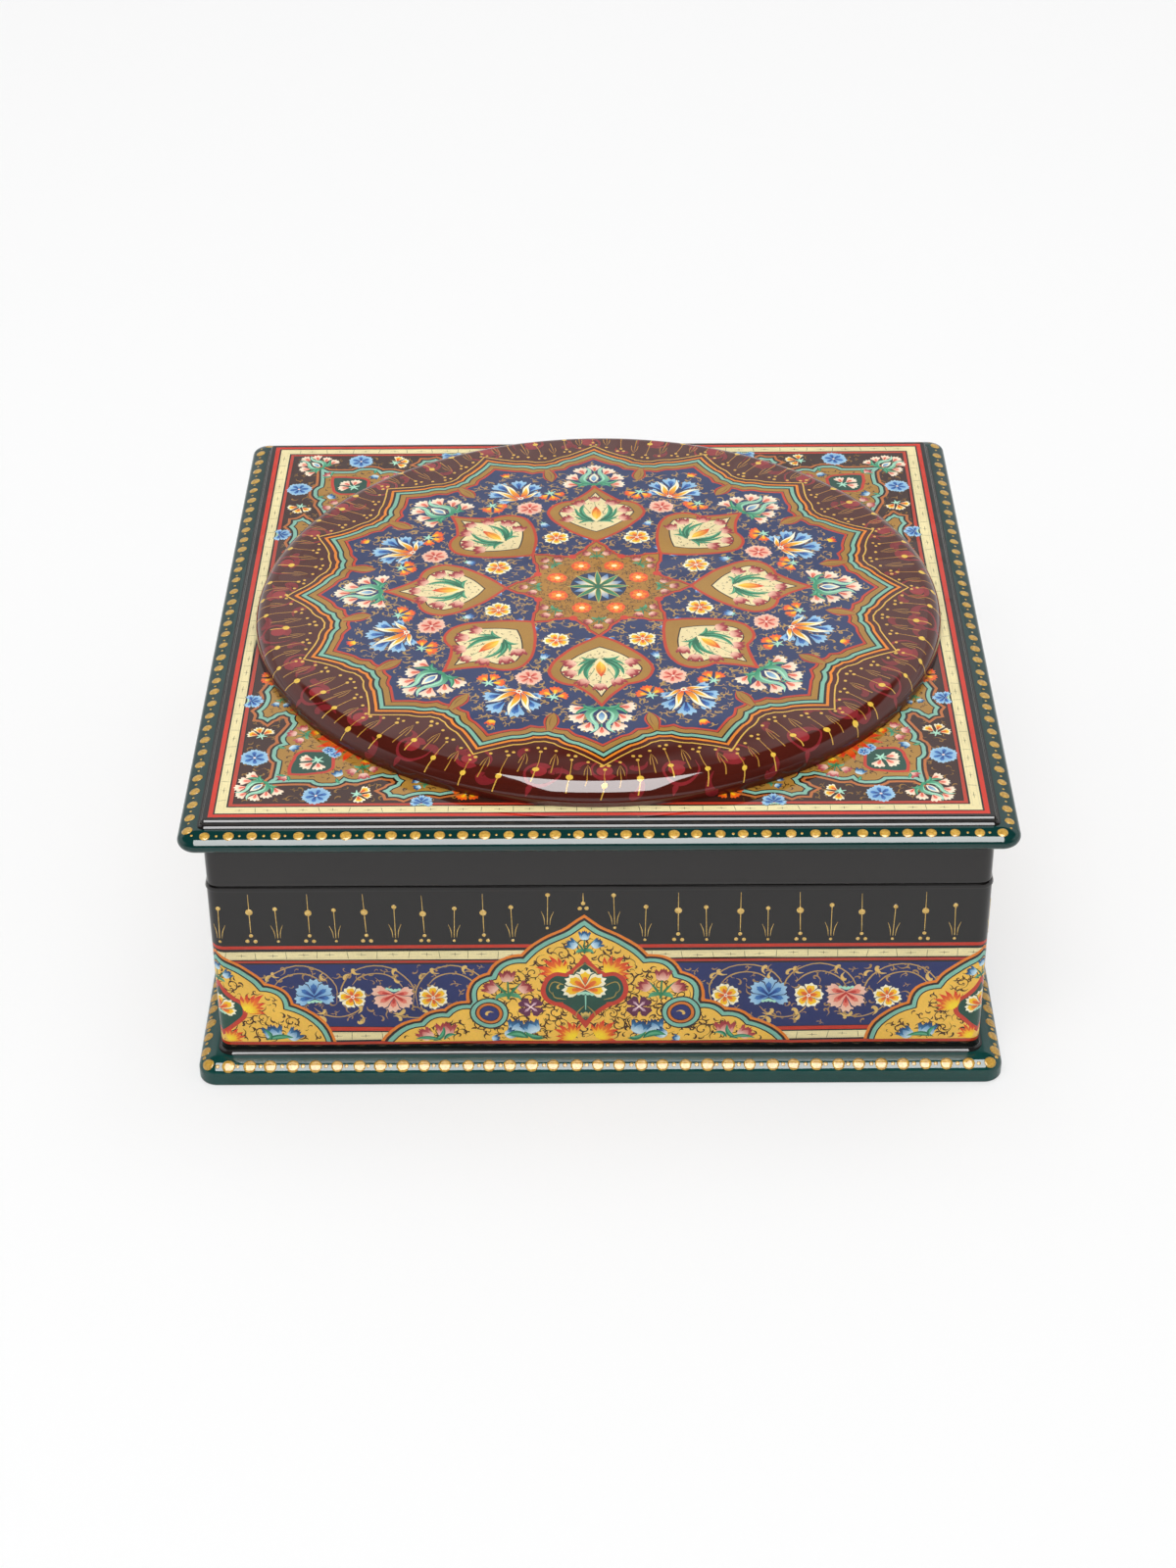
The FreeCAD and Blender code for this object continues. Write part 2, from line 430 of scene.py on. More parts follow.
def closed_below(place, corners, level, colour):
    """Sides from the edge of some triangles straight down to a level, and the underside."""
    edge = place[open_edges(corners)]
    foot = edge * (1, 1, 0) + (0, 0, level)
    a, b, c, d = edge[:, 0], edge[:, 1], foot[:, 1], foot[:, 0]
    tris = np.concatenate([np.stack([a, d, c], 1), np.stack([a, c, b], 1),
                           np.stack([c, d, a * 0 + (0, 0, level)], 1)])
    facing = np.cross(tris[:, 1] - tris[:, 0], tris[:, 2] - tris[:, 0])
    facing /= np.maximum(np.linalg.norm(facing, axis=1, keepdims=True), 1e-12)
    return tris, np.broadcast_to(facing[:, None], tris.shape), one_paint(colour, tris)


print("a grid of 3 by 4 points has", len(grid(np.zeros((3, 4, 3)), np.zeros((3, 4, 3)), "#000000")[0]),
      "triangles")

# %% Make a piece of them
finest_step = 5000  # corners are joined on a grid of 1/5000 mm


def make_piece(name, parts, material, body, nodes=(), turn=0):
    """A finished piece from (corners, normals, colours) parts in millimetres."""
    place, facing, paint = (np.concatenate([np.asarray(p[i], float) for p in parts]) for i in range(3))
    if turn:
        c, s = math.cos(math.radians(turn)), math.sin(math.radians(turn))
        spin = np.array([[c, s, 0], [-s, c, 0], [0, 0, 1]])
        place, facing = place @ spin, facing @ spin
    # the three steps of a corner are packed into one whole number, 21 bits each
    steps = np.round(place.reshape(-1, 3) * finest_step).astype(np.int64) + 2**20
    _, first, index = np.unique(steps @ np.array([2**42, 2**21, 1]), return_index=True, return_inverse=True)
    spots, index = (steps[first] - 2**20) / finest_step * MM, index.reshape(-1, 3)
    whole = (index[:, 0] != index[:, 1]) & (index[:, 1] != index[:, 2]) & (index[:, 2] != index[:, 0])
    place, facing, paint, index = place[whole], facing[whole], paint[whole], index[whole]
    across = np.cross(place[:, 1] - place[:, 0], place[:, 2] - place[:, 0])
    wrong = (across * facing.sum(1)).sum(1) < 0
    for array in (index, facing, paint):
        array[wrong] = array[wrong][:, ::-1]
    mesh = bpy.data.meshes.new(name)
    mesh.from_pydata(spots, [], index)
    colour = mesh.color_attributes.new("paint", "FLOAT_COLOR", "CORNER")
    colour.data.foreach_set("color", np.concatenate([paint, np.ones_like(paint[..., :1])], -1).ravel())
    mesh.normals_split_custom_set(facing.reshape(-1, 3).tolist())
    mesh.materials.append(material)
    piece = stand(name, mesh)
    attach(piece, body)
    if nodes:
        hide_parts(*nodes)
    print(name, "has", len(index), "triangles")
    return piece


print("corners are joined when they are nearer than", 1 / finest_step, "mm")

# %% [markdown]
# ## Varnished paint
# The skin is tempera and gold on a papier mache ground under several coats of clear varnish,
# rubbed and polished. The eye gets flat soft colour from below and one sharp reflection from
# above, which wavers a little because the ground is never quite true. The clear coat carries
# the sharp reflection; the paint under it is rough.

# %% Materials


def varnished_paint(name, base=None, unevenness=0.35, coat_roughness=0.035):
    """Brushed tempera under polished varnish. Without a base colour it reads the paint attribute."""
    material = bpy.data.materials.new(name)
    tree = bare_tree(material)
    where = add(tree, "ShaderNodeTexCoord").outputs["Object"]
    # brush grain, about 0.35 mm across, and slow clouds of thicker and thinner paint, about 12 mm
    grain = add(tree, "ShaderNodeTexNoise", {"Vector": where, "Scale": 2900, "Detail": 2.0})
    cloud = add(tree, "ShaderNodeTexNoise", {"Vector": where, "Scale": 85, "Detail": 3.0})
    thin = add(tree, "ShaderNodeMapRange", {"Value": grain.outputs[0], 1: 0.25, 2: 0.75, 3: 0.93, 4: 1.07})
    thick = add(tree, "ShaderNodeMapRange", {"Value": cloud.outputs[0], 1: 0.3, 2: 0.7, 3: 0.92, 4: 1.08})
    both = add(tree, "ShaderNodeMath", {0: thin.outputs[0], 1: thick.outputs[0]}, operation="MULTIPLY")
    if base is None:
        source = add(tree, "ShaderNodeAttribute", attribute_name="paint").outputs["Color"]
    else:
        rgb = add(tree, "ShaderNodeRGB")
        rgb.outputs[0].default_value = (*linear(base), 1)
        source = rgb.outputs[0]
    tint = add(tree, "ShaderNodeVectorMath", {0: source, "Scale": both.outputs[0]}, operation="SCALE")
    # the varnish surface: a slow wave about 14 mm long and faint brush marks under 1 mm
    wave = add(tree, "ShaderNodeTexNoise", {"Vector": where, "Scale": 70, "Detail": 1.0})
    bump = add(tree, "ShaderNodeBump",
               {"Height": wave.outputs[0], "Strength": unevenness, "Distance": 0.0006})
    fine = add(tree, "ShaderNodeBump", {"Height": grain.outputs[0], "Normal": bump.outputs[0],
                                        "Strength": 0.25, "Distance": 0.00003})
    shader = add(tree, "ShaderNodeBsdfPrincipled", {
        "Base Color": tint.outputs[0], "Roughness": 0.55, "IOR": 1.45, "Coat Weight": 1.0,
        "Coat Roughness": coat_roughness, "Coat IOR": 1.5, "Specular IOR Level": 0.0,
        "Normal": fine.outputs[0], "Coat Normal": bump.outputs[0]})
    add(tree, "ShaderNodeOutputMaterial", {"Surface": shader.outputs[0]})
    return material


painted_skin = varnished_paint("painted tempera under polished varnish")
black_skin = varnished_paint("black ground under polished varnish", "#201d1c")
inside_skin = varnished_paint("black lacquer brushed inside", "#1a1716", 0.22, 0.14)
print("materials:", len(bpy.data.materials))

# %% [markdown]
# ## Studio
# The photograph was taken on white paper with soft light from above and behind the camera.
# A polished box mirrors the whole room, so the room is built for it. The paper rises behind
# the box and the world goes on white to about 38 degrees, where the ceiling begins. That is
# why the far half of the lid is veiled and the near half shows its colours clearly. A wide
# panel overhead is seen only by the varnish: it draws the white line on every rounded edge.

# %% The paper under and behind the box
floor_material = bpy.data.materials.new("white seamless paper")
tree = bare_tree(floor_material)
where = add(tree, "ShaderNodeTexCoord").outputs["Object"]
paper = add(tree, "ShaderNodeTexNoise", {"Vector": where, "Scale": 900, "Detail": 2.0})
tone = add(tree, "ShaderNodeMapRange", {"Value": paper.outputs[0], 3: 0.87, 4: 0.89})
matte = add(tree, "ShaderNodeBsdfDiffuse", {"Color": tone.outputs[0]})
# to the camera the paper is most of the way to white, so the box's shadow stays, but faint
white = add(tree, "ShaderNodeEmission", {"Strength": 1.0})
rays = add(tree, "ShaderNodeLightPath")
white_share = 0.62
share = add(tree, "ShaderNodeMath", {0: rays.outputs["Is Camera Ray"], 1: white_share}, operation="MULTIPLY")
paper_seen = add(tree, "ShaderNodeMixShader",
                 {0: share.outputs[0], 1: matte.outputs[0], 2: white.outputs[0]})
add(tree, "ShaderNodeOutputMaterial", {"Surface": paper_seen.outputs[0]})
wide, deep, rise = 3.0, 1.5, 0.9
track = [(-deep - 2.0, 0.0), (deep - 0.5, 0.0)]
track += [(deep - 0.5 + rise * math.sin(a), rise * (1 - math.cos(a)))
          for a in np.linspace(0.1, math.pi / 2, 16)]
track += [(deep - 0.5 + rise, 1.15)]
mesh = bpy.data.meshes.new("studio_floor")
verts = [(x, y, z - 0.00001) for y, z in track for x in (-wide, wide)]
mesh.from_pydata(verts, [], [(2 * i, 2 * i + 1, 2 * i + 3, 2 * i + 2) for i in range(len(track) - 1)])
mesh.shade_smooth()
mesh.materials.append(floor_material)
studio_floor = stand("studio_floor", mesh)
print("the paper is", 2 * wide, "m wide and rises", rise, "m behind the box")

# %% The room
room_light = 0.62
world = bpy.data.worlds.new("studio room")
bpy.context.scene.world = world
tree = bare_tree(world)
view = add(tree, "ShaderNodeTexCoord").outputs["Generated"]
way = add(tree, "ShaderNodeSeparateXYZ", {"Vector": view})
# in reflections: white walls up to the ceiling at the back and sides, a dim room in front
walls = add(tree, "ShaderNodeMapRange", {"Value": way.outputs["Z"], 1: 0.59, 2: 0.65, 3: 0.86, 4: 0.03})
walls.interpolation_type = "SMOOTHSTEP"
front = add(tree, "ShaderNodeMapRange", {"Value": way.outputs["Y"], 1: -0.6, 2: -0.1, 3: 0.05, 4: 1.0})
front.interpolation_type = "SMOOTHSTEP"
tone = add(tree, "ShaderNodeMath", {0: front.outputs[0], 1: walls.outputs[0]}, operation="MULTIPLY")
rays = add(tree, "ShaderNodeLightPath")
seen = add(tree, "ShaderNodeMath", {0: rays.outputs["Is Glossy Ray"], 1: tone.outputs[0]},
           operation="MULTIPLY")
shown = add(tree, "ShaderNodeMath", {0: rays.outputs["Is Camera Ray"], 1: seen.outputs[0]},
            operation="MAXIMUM")
is_seen = add(tree, "ShaderNodeMath", {0: rays.outputs["Is Camera Ray"], 1: rays.outputs["Is Glossy Ray"]},
              operation="MAXIMUM")
lit = add(tree, "ShaderNodeMix", {"Factor": is_seen.outputs[0], 2: room_light, 3: shown.outputs[0]},
          data_type="FLOAT")
glow_node = add(tree, "ShaderNodeBackground", {"Color": (1, 1, 1, 1), "Strength": lit.outputs[0]})
add(tree, "ShaderNodeOutputWorld", {"Surface": glow_node.outputs[0]})
print("the room's tree has", len(tree.nodes), "nodes")

# %% Lamps


def softbox(name, at, size, watts, for_gloss, aim=(0, 0, 0.05)):
    """A rectangular lamp, seen either by the matt paint or by the varnish."""
    lamp = bpy.data.lights.new(name, "AREA")
    lamp.shape = "RECTANGLE"
    lamp.size, lamp.size_y = size
    lamp.energy = watts
    thing = stand(name, lamp)
    thing.location = at
    thing.rotation_euler = (Vector(aim) - Vector(at)).to_track_quat("-Z", "Y").to_euler()
    thing.visible_camera = False
    thing.visible_glossy = for_gloss
    thing.visible_diffuse = not for_gloss


softbox("key softbox", (-0.25, -0.75, 1.35), (0.7, 0.5), 7, False)
softbox("top softbox", (0.15, 0.35, 1.6), (1.2, 1.0), 8, False)
softbox("gloss panel above the camera", (0, -0.545, 1.12), (0.7, 1.56), 44, True)

# %% [markdown]
# ## Wrapping a flat sheet on a solid
# Paper glued to a mould bends but does not stretch, so a sheet is wrapped by arc length: how
# far a point lies from the middle of the sheet is how far one walks over the surface. The
# dome is a shallow crown that turns down in a small round rim. The lid panel is flat with a
# rounded edge and a cove. The walls are flat and turn round a small radius at the corners.

# %% The dome's surface
rim_radius, rim_lift = 4.9, 1.15
rim_level = panel_top + rim_lift
rim_centre = dome_radius - rim_radius
crown_drop = dome_top - rim_level
crown_radius = (rim_centre**2 + crown_drop**2 - rim_radius**2) / (2 * (crown_drop - rim_radius))
crown_angle = math.asin(rim_centre / (crown_radius - rim_radius))
crown_arc = crown_radius * crown_angle
belly_angle = math.pi / 2 + math.asin(rim_lift / rim_radius)
dome_arc = crown_arc + rim_radius * (belly_angle - crown_angle)


def on_dome(points):
    """Places and normals on the dome for points of the round sheet."""
    s, way = abs(points), np.exp(1j * np.angle(points))
    turn = np.where(s < crown_arc, s / crown_radius, crown_angle + (s - crown_arc) / rim_radius)
    r = np.where(s < crown_arc, crown_radius * np.sin(turn), rim_centre + rim_radius * np.sin(turn))
    z = np.where(s < crown_arc, dome_top - crown_radius * (1 - np.cos(turn)),
                 rim_level + rim_radius * np.cos(turn))
    place = np.stack([r * way.real, r * way.imag, z], -1)
    return place, np.stack([np.sin(turn) * way.real, np.sin(turn) * way.imag, np.cos(turn)], -1)


print("dome: crown radius", round(crown_radius), "rim begins at", round(crown_arc, 2), "ends at",
      round(dome_arc, 2))

# %% The panel's surface
edge_share, ledge = 0.49, 5.6
edge_radius = (panel_top - board_top) * edge_share
panel_out = lid_out - ledge
panel_axis = panel_out - edge_radius
panel_arc = edge_radius * math.pi / 2


def on_panel(points):
    """Places and normals on the panel: flat, then round the edge, then out again in a cove."""
    core = np.clip(points.real, -panel_axis, panel_axis) + 1j * np.clip(points.imag, -panel_axis, panel_axis)
    off = abs(points - core)
    way = np.where(off > 1e-9, (points - core) / np.maximum(off, 1e-9), 0)
    first = np.clip(off / edge_radius, 0, np.pi / 2)
    second = np.clip((off - panel_arc) / edge_radius, 0, np.pi / 2)
    out = edge_radius * np.sin(first) + edge_radius * (1 - np.cos(second))
    z = panel_top - edge_radius * (1 - np.cos(first)) - edge_radius * np.sin(second)
    lean = np.where(off < panel_arc, first, np.pi / 2 - second)
    place = np.stack([core.real + way.real * out, core.imag + way.imag * out, z], -1)
    return place, np.stack([way.real * np.sin(lean), way.imag * np.sin(lean), np.cos(lean)], -1)


print("panel sheet: half width", round(panel_axis + 2 * panel_arc, 2))

# %% The walls' surface
bead_lean = 0.38
corner_arc = wall_round * math.pi / 4
wall_half = wall_axis + corner_arc


def on_wall(points):
    """Places and normals on the front wall: x along it, y the height."""
    x, z = points.real, points.imag
    past = np.maximum(abs(x) - wall_axis, 0) / wall_round
    turn = np.sign(x) * past
    # the bead under the seam is rubbed flat by the lid, so its varnish leans less than its shape
    bead = np.clip((z - (seam - bead_height / 2)) / (bead_height / 2), -1, 1)
    proud = wall_round + bead_rise * (1 - bead**2)
    lean = np.where(abs(bead) < 1, bead_lean * bead, 0)
    along = np.clip(x, -wall_axis, wall_axis) + proud * np.sin(turn)
    out = wall_axis + proud * np.cos(turn)
    place = np.stack([along, -out, z], -1)
    return place, np.stack([np.sin(turn) * np.cos(lean), -np.cos(turn) * np.cos(lean), np.sin(lean)], -1)


places = {"right": 0, "back": 90, "left": 180, "front": 270}
print("wall sheet: half width", round(wall_half, 2))

# %% [markdown]
# ## Brush marks that come back everywhere
# The painter's stock is small: toothed petals in two or three tones, tulips, leaves with a
# pale side, buds, gold commas and curls. Each one is a function that returns marks standing
# at 0 and growing up the sheet, about one unit tall, and it never comes out twice the same,
# because a seeded generator nudges every angle and length a little.

# %% Petals and open flowers
hand = random.Random(7)


def nudge(amount):
    return hand.uniform(-amount, amount)


def petal(layers, width=0.8, teeth=3, depth=0.16, shoulder=0.66):
    """Nested petals: each layer is (length, width share, colour at the foot, colour at the tip)."""
    marks = []
    for i, (length, share, foot, tip) in enumerate(layers):
        shape = fan(width * share * (1 + nudge(0.05)), max(teeth - i, 1), depth * (1 - 0.3 * i), shoulder)
        marks.append((shape * length, fade(foot, tip, 0.1j * length, 0.95j * length)))
    return marks


def bloom(angles, layers, width, teeth, radius=1, depth=0.16, lengths=None, shoulder=0.66, gap=None):
    """Petals round a centre; angles are turned from straight up, and a gap of ground colour parts them."""
    marks = []
    for i, angle in enumerate(angles):
        size = radius * (1 + nudge(0.04)) * (lengths[i] if lengths else 1)
        turn = angle + nudge(3)
        if gap:
            marks += moved([(fan(width * 1.16, teeth, depth, shoulder) * 1.02, flat(gap))], 0, turn, size)
        marks += moved(petal(layers, width, teeth, depth, shoulder), 0, turn, size)
    return marks


yellow_petal = [(1, 1, "#f2dca0", "#f8f3d8"), (0.84, 0.72, "#ec7a1c", "#fbd21a"),
                (0.6, 0.46, "#d4341c", "#ee7a20")]
pink_petal = [(1, 1, "#e89c84", "#f2c8ae"), (0.74, 0.46, "#d44a3c", "#e67c68"),
              (0.52, 0.34, "#b82c24", "#c83830")]
blue_petal = [(1, 1, "#5c98cc", "#a4cce4"), (0.74, 0.48, "#1c4490", "#3c78bc"),
              (0.5, 0.36, "#122a68", "#24509c")]
white_petal = [(1, 1, "#f0b098", "#f8f0d4"), (0.64, 0.44, "#cc2c1e", "#f08c70")]
fire_petal = [(1, 1, "#f08a1c", "#ee4a1c"), (0.6, 0.5, "#fcd820", "#f8a81c")]


def yellow_flower(radius, petals=6, start=0):
    step = 360 / petals
    width = 0.76 if petals == 6 else 0.9
    marks = bloom([start + i * step for i in range(petals)], yellow_petal, width, 3, radius, 0.18, None,
                  0.62, "#252c58")
    return marks + [(disc(0, radius * 0.13, 8), flat("#f8e8dc")),
                    (disc(0, radius * 0.06, 6), flat("#c8402c"))]


def round_flower(radius, layers, petals, teeth, start=0, width=1.0):
    step = 360 / petals
    marks = bloom([start + i * step for i in range(petals)], layers, width, teeth, radius)
    return marks + [(disc(0, radius * 0.1, 7), flat("#f4dccc"))]


print("tones of a petal:", [layer[2] for layer in yellow_petal])

# %% Flowers from the side and tulips


def calyx(width, colour="#a8dcc2", lobes=4):
    """The scalloped green cup under a side-on flower."""
    marks = [(brush([-width / 2 - 0.1j * width, 0.1j * width, width / 2 - 0.1j * width],
                    [0.1 * width, 0.22 * width, 0.1 * width], 4), flat(colour))]
    for i in range(lobes):
        x = width * (i / (lobes - 1) - 0.5) * 0.9
        marks.append((disc(x + 0.02j * width - 0.35j * x * x / width, width * 0.13, 8), flat(colour)))
    return marks


def side_flower(layers, radius, gap="#232a56", width=0.74, teeth=4):
    """A carnation from the side: five toothed petals, open below, where a cup holds them."""
    marks = bloom([0, 104, -104, 52, -52], layers, width, teeth, radius, 0.18, [1.04, 0.96, 0.96, 1, 1],
                  0.62, gap)
    return marks + moved(calyx(radius * 0.6), -0.3j * radius)


def tulip(width=0.95, tip="#9c2c34", middle="#c8605c", heart="#f0cdb8"):
    """A cupped flower with three points, pale at the foot."""
    w = width / 2 * (1 + nudge(0.06))
    flank = smooth([0.1 * w, 0.62 * w + 0.12j, 0.86 * w + 0.42j], 3)
    points = [1.14 * w + 0.84j, 0.98 * w + 0.8j, 0.95 * w + 0.96j, 0.52 * w + 0.72j, 0.3 * w + 0.98j,
              0.14 * w + 0.88j]
    side = np.concatenate([flank, points])
    shape = np.concatenate([side, [1.06j], -np.conj(side[::-1])])
    return [(shape, fade(middle, tip, 0.3j, 0.85j)),
            (leaf(0.03j + 0.1 * w, 0.6j + 0.72 * w, 0.22 * width, -0.16), fade(heart, middle, 0.05j, 0.6j)),
            (leaf(0.03j - 0.1 * w, 0.6j - 0.72 * w, 0.22 * width, 0.16), fade(heart, middle, 0.05j, 0.6j)),
            (leaf(0.03j, 0.74j, 0.46 * width), fade(heart, middle, 0.1j, 0.72j))]


blue_tones = ("#123a68", "#3f86b8", "#cfe8ee")
sky_tones = ("#2c5ca4", "#6aa6d0", "#dcecf0")
fire_tones = ("#e03c18", "#f47c1c", "#fcdc30")


def blue_tulip(size, width=1.1):
    return moved(tulip(width, *blue_tones), size=size)


print("a cup is", len(calyx(1)), "marks")

# %% Leaves, rays and sprays


def two_tone_leaf(a, b, width, bend=0.0, dark="#1d6a4c", pale="#66b48c"):
    """A leaf with a light side."""
    side = 1j * (b - a) / abs(b - a) * width * 0.14
    return [(leaf(a, b, width, bend), fade(dark, "#2f8a62", a, b)),
            (leaf(a + 0.12 * (b - a) + side, b - 0.08 * (b - a), width * 0.4, bend),
             fade(pale, "#3f9c70", a, b))]


def stem(points, width=0.3, colour="#2f7a54"):
    return [(brush(points, [width, width * 0.8, width * 0.6]), flat(colour))]


def rays(size, tips=7, spread=100, tones=("#fbd82a", "#f08a1c", "#dc3a1a")):
    """A spray of pointed leaves from one root, yellow at the root and red at the tips."""
    marks = []
    for i in range(tips):
        turn = spread * (i / (tips - 1) - 0.5) + nudge(4)
        reach = size * (1 - 0.25 * abs(i / (tips - 1) - 0.5) * 2) * (1 + nudge(0.08))
        blade = brush([0, 0.3j + 0.04, 0.7j, 1j + 0.05], [0.12, 0.24, 0.2, 0])
        marks += moved([(blade, fade(tones[1], tones[2], 0.3j, 0.8j))], 0, turn, reach)
    for i in range(tips):
        turn = spread * (i / (tips - 1) - 0.5) + nudge(5)
        blade = brush([0, 0.3j, 0.62j], [0.14, 0.16, 0])
        marks += moved([(blade, fade(tones[0], tones[1], 0.2j, 0.6j))], 0, turn, size)
    return marks


def petal_spray(size, layers, stalk="#a8dcc2"):
    """Three toothed petals on short forked stalks over a small cup."""
    marks = [(brush([-0.42 - 0.34j, -0.2j, 0.42 - 0.34j], [0.05, 0.2, 0.05], 3) * size, flat(stalk)),
             (brush([-0.62j, -0.3j, 0.3j], [0.05, 0.14, 0.1], 2) * size, flat(stalk))]
    for turn, spot in ((62, -0.26 + 0.02j), (-62, 0.26 + 0.02j), (0, 0.24j)):
        spot = spot * (1 + nudge(0.1))
        marks.append((brush([-0.24j, spot], [0.1, 0.12], 2) * size, flat(stalk)))
        marks += moved(petal(layers, 0.98, 4, 0.24, 0.6), spot * size, turn + nudge(7),
                       size * 0.84 * (1 + nudge(0.06)))
    return marks


print("a yellow flower is", len(yellow_flower(3.6)), "marks")

# %% Gold curls and commas


def comma(colour, width=0.3):
    """A comma with a hooked head."""
    return [(brush([0, 0.42 + 0.2j, 0.82 + 0.08j, 0.98 - 0.22j, 0.78 - 0.32j],
                   [0.04, width * 0.55, width, width * 0.9, 0.08], 4), flat(colour))]


def curl(colour, width=0.22):
    """A thin curl that ends in a bud, with a small leaf on its back."""
    marks = [(brush([-0.9 - 0.1j, -0.35 + 0.32j, 0.3 + 0.22j, 0.5 - 0.15j, 0.22 - 0.3j, 0.08 - 0.12j],
                    [0.03, width * 0.7, width, width, width * 0.8, 0.1], 4), flat(colour))]
    marks.append((leaf(0.1 + 0.3j, 0.72 + 0.62j, width * 1.1, -0.2), flat(colour)))
    return marks


def double_comma(colour):
    return comma(colour, 0.26) + moved(comma(colour, 0.2), -0.15 - 0.12j, 195, 0.7)


def spiral(colour):
    """A stem that winds in on itself, with leaves on its back."""
    turns = np.radians(np.linspace(-70, 390, 11))
    marks = [(brush(list(np.exp(1j * turns) * np.linspace(1.05, 0.16, 11)),
                    [0.03, 0.1, 0.16, 0.13, 0.16, 0.12, 0.22], 3), flat(colour))]
    for at, width in ((20, 0.2), (95, 0.24), (170, 0.2)):
        way = np.exp(1j * math.radians(at))
        marks.append((leaf(0.86 * way, 1.3 * way * np.exp(0.42j), width, 0.25), flat(colour)))
    return marks


def sprig(colour):
    """A stalk with three small leaves."""
    marks = [(brush([-0.7, 0, 0.6 + 0.16j], [0.04, 0.12, 0.06], 3), flat(colour))]
    for x, turn in ((-0.25, 0.5), (0.1, -0.5), (0.4, 0.45)):
        marks.append((leaf(x + 0.02j, x + 0.32 + turn * 0.8j, 0.17, turn * 0.3), flat(colour)))
    return marks


def fill_with_curls(region, colour, gap, size, kinds=(comma, curl, double_comma, sprig), tries=2600,
                    avoid=()):
    """Curls scattered evenly over a region, none nearer than gap to the next or over its edge."""
    spots, marks = [], []
    low, high = min(region.real) + 1j * min(region.imag), max(region.real) + 1j * max(region.imag)
    for _ in range(tries):
        spot = complex(hand.uniform(low.real, high.real), hand.uniform(low.imag, high.imag))
        near = spots[-400:]  # older ones are not looked at, which keeps the search quick
        if near and np.min(abs(np.array(near) - spot)) < gap:
            continue
        if any(abs(spot - c) < r for c, r in avoid) or not within(region, np.array([spot]))[0]:
            continue
        mark = moved(kinds[hand.randrange(len(kinds))](colour), spot, hand.uniform(0, 360),
                     size * hand.uniform(0.8, 1.2), hand.random() < 0.5)
        if not within(region, np.concatenate([points[::3] for points, _ in mark])).all():
            continue
        spots.append(spot)
        marks += mark
    return marks


def nested(outline, steps):
    """The outline filled again and again, each time moved by a distance, as painted bands."""
    return [(parallel(outline, distance) if distance else outline, flat(code)) for distance, code in steps]


def in_pairs(half, last):
    """Places (x, y, turn) on the right, each with its mirror image before it, and one in the middle."""
    return [(side * x, y, -side * turn) for x, y, turn in half for side in (-1, 1)] + [last]


print("a sprig is", len(sprig("#d9a93f")), "marks")

# %% [markdown]
# ## The medallion on the lid
# Eight ogee cartouches stand round a gold star on a deep blue field, and a rim of sixteen
# points frames it. Everything is drawn once for one eighth, standing up the sheet, and put
# round the middle eight times with a fresh hand, so no two eighths are quite the same.

# %% Outlines of the medallion


def polar(angle, radius):
    """A point of the sheet; angle 0 points up and runs to the right."""
    return radius * 1j * np.exp(-1j * math.radians(angle))


half_step = [(0, 76.7), (4.9, 71.9), (8.3, 69.4), (11.25, 68.6)]
ring_corners, ring_bulges = [], []
for k in range(16):
    base = 22.5 * k
    ring_corners += [polar(base + a, r) for a, r in half_step]
    ring_corners += [polar(base + 22.5 - a, r) for a, r in (half_step[2], half_step[1])]
    ring_bulges += [-0.02, 0.1, 0.08, 0.08, 0.1, -0.02]
ring_line = arcs(ring_corners, [-b for b in ring_bulges])
cartouche = both_halves([24.2j, 10.6 + 34.6j, 12.9 + 40.2j, 6.4 + 46.7j, 55.7j], [0.05, 0.06, 0.2, -0.04], 7)
cream_shape = both_halves([29.6j, 7.7 + 36j, 9.9 + 39.9j, 4.5 + 44.6j, 51.6j], [0.05, 0.07, 0.22, -0.06])
star_corners = []
for k in range(8):
    star_corners += [polar(45 * k + a, r) for a, r in ((0, 24.4), (7.2, 21.4), (13.6, 18.8), (22.5, 17.4),
                                                      (31.4, 18.8), (37.8, 21.4))]
star = arcs(star_corners, [0.02, 0.12, 0.12, 0.12, 0.12, 0.02] * 8, 4)
print("ring outline", len(ring_line), "points, star", len(star))

# %% The spray in a cartouche


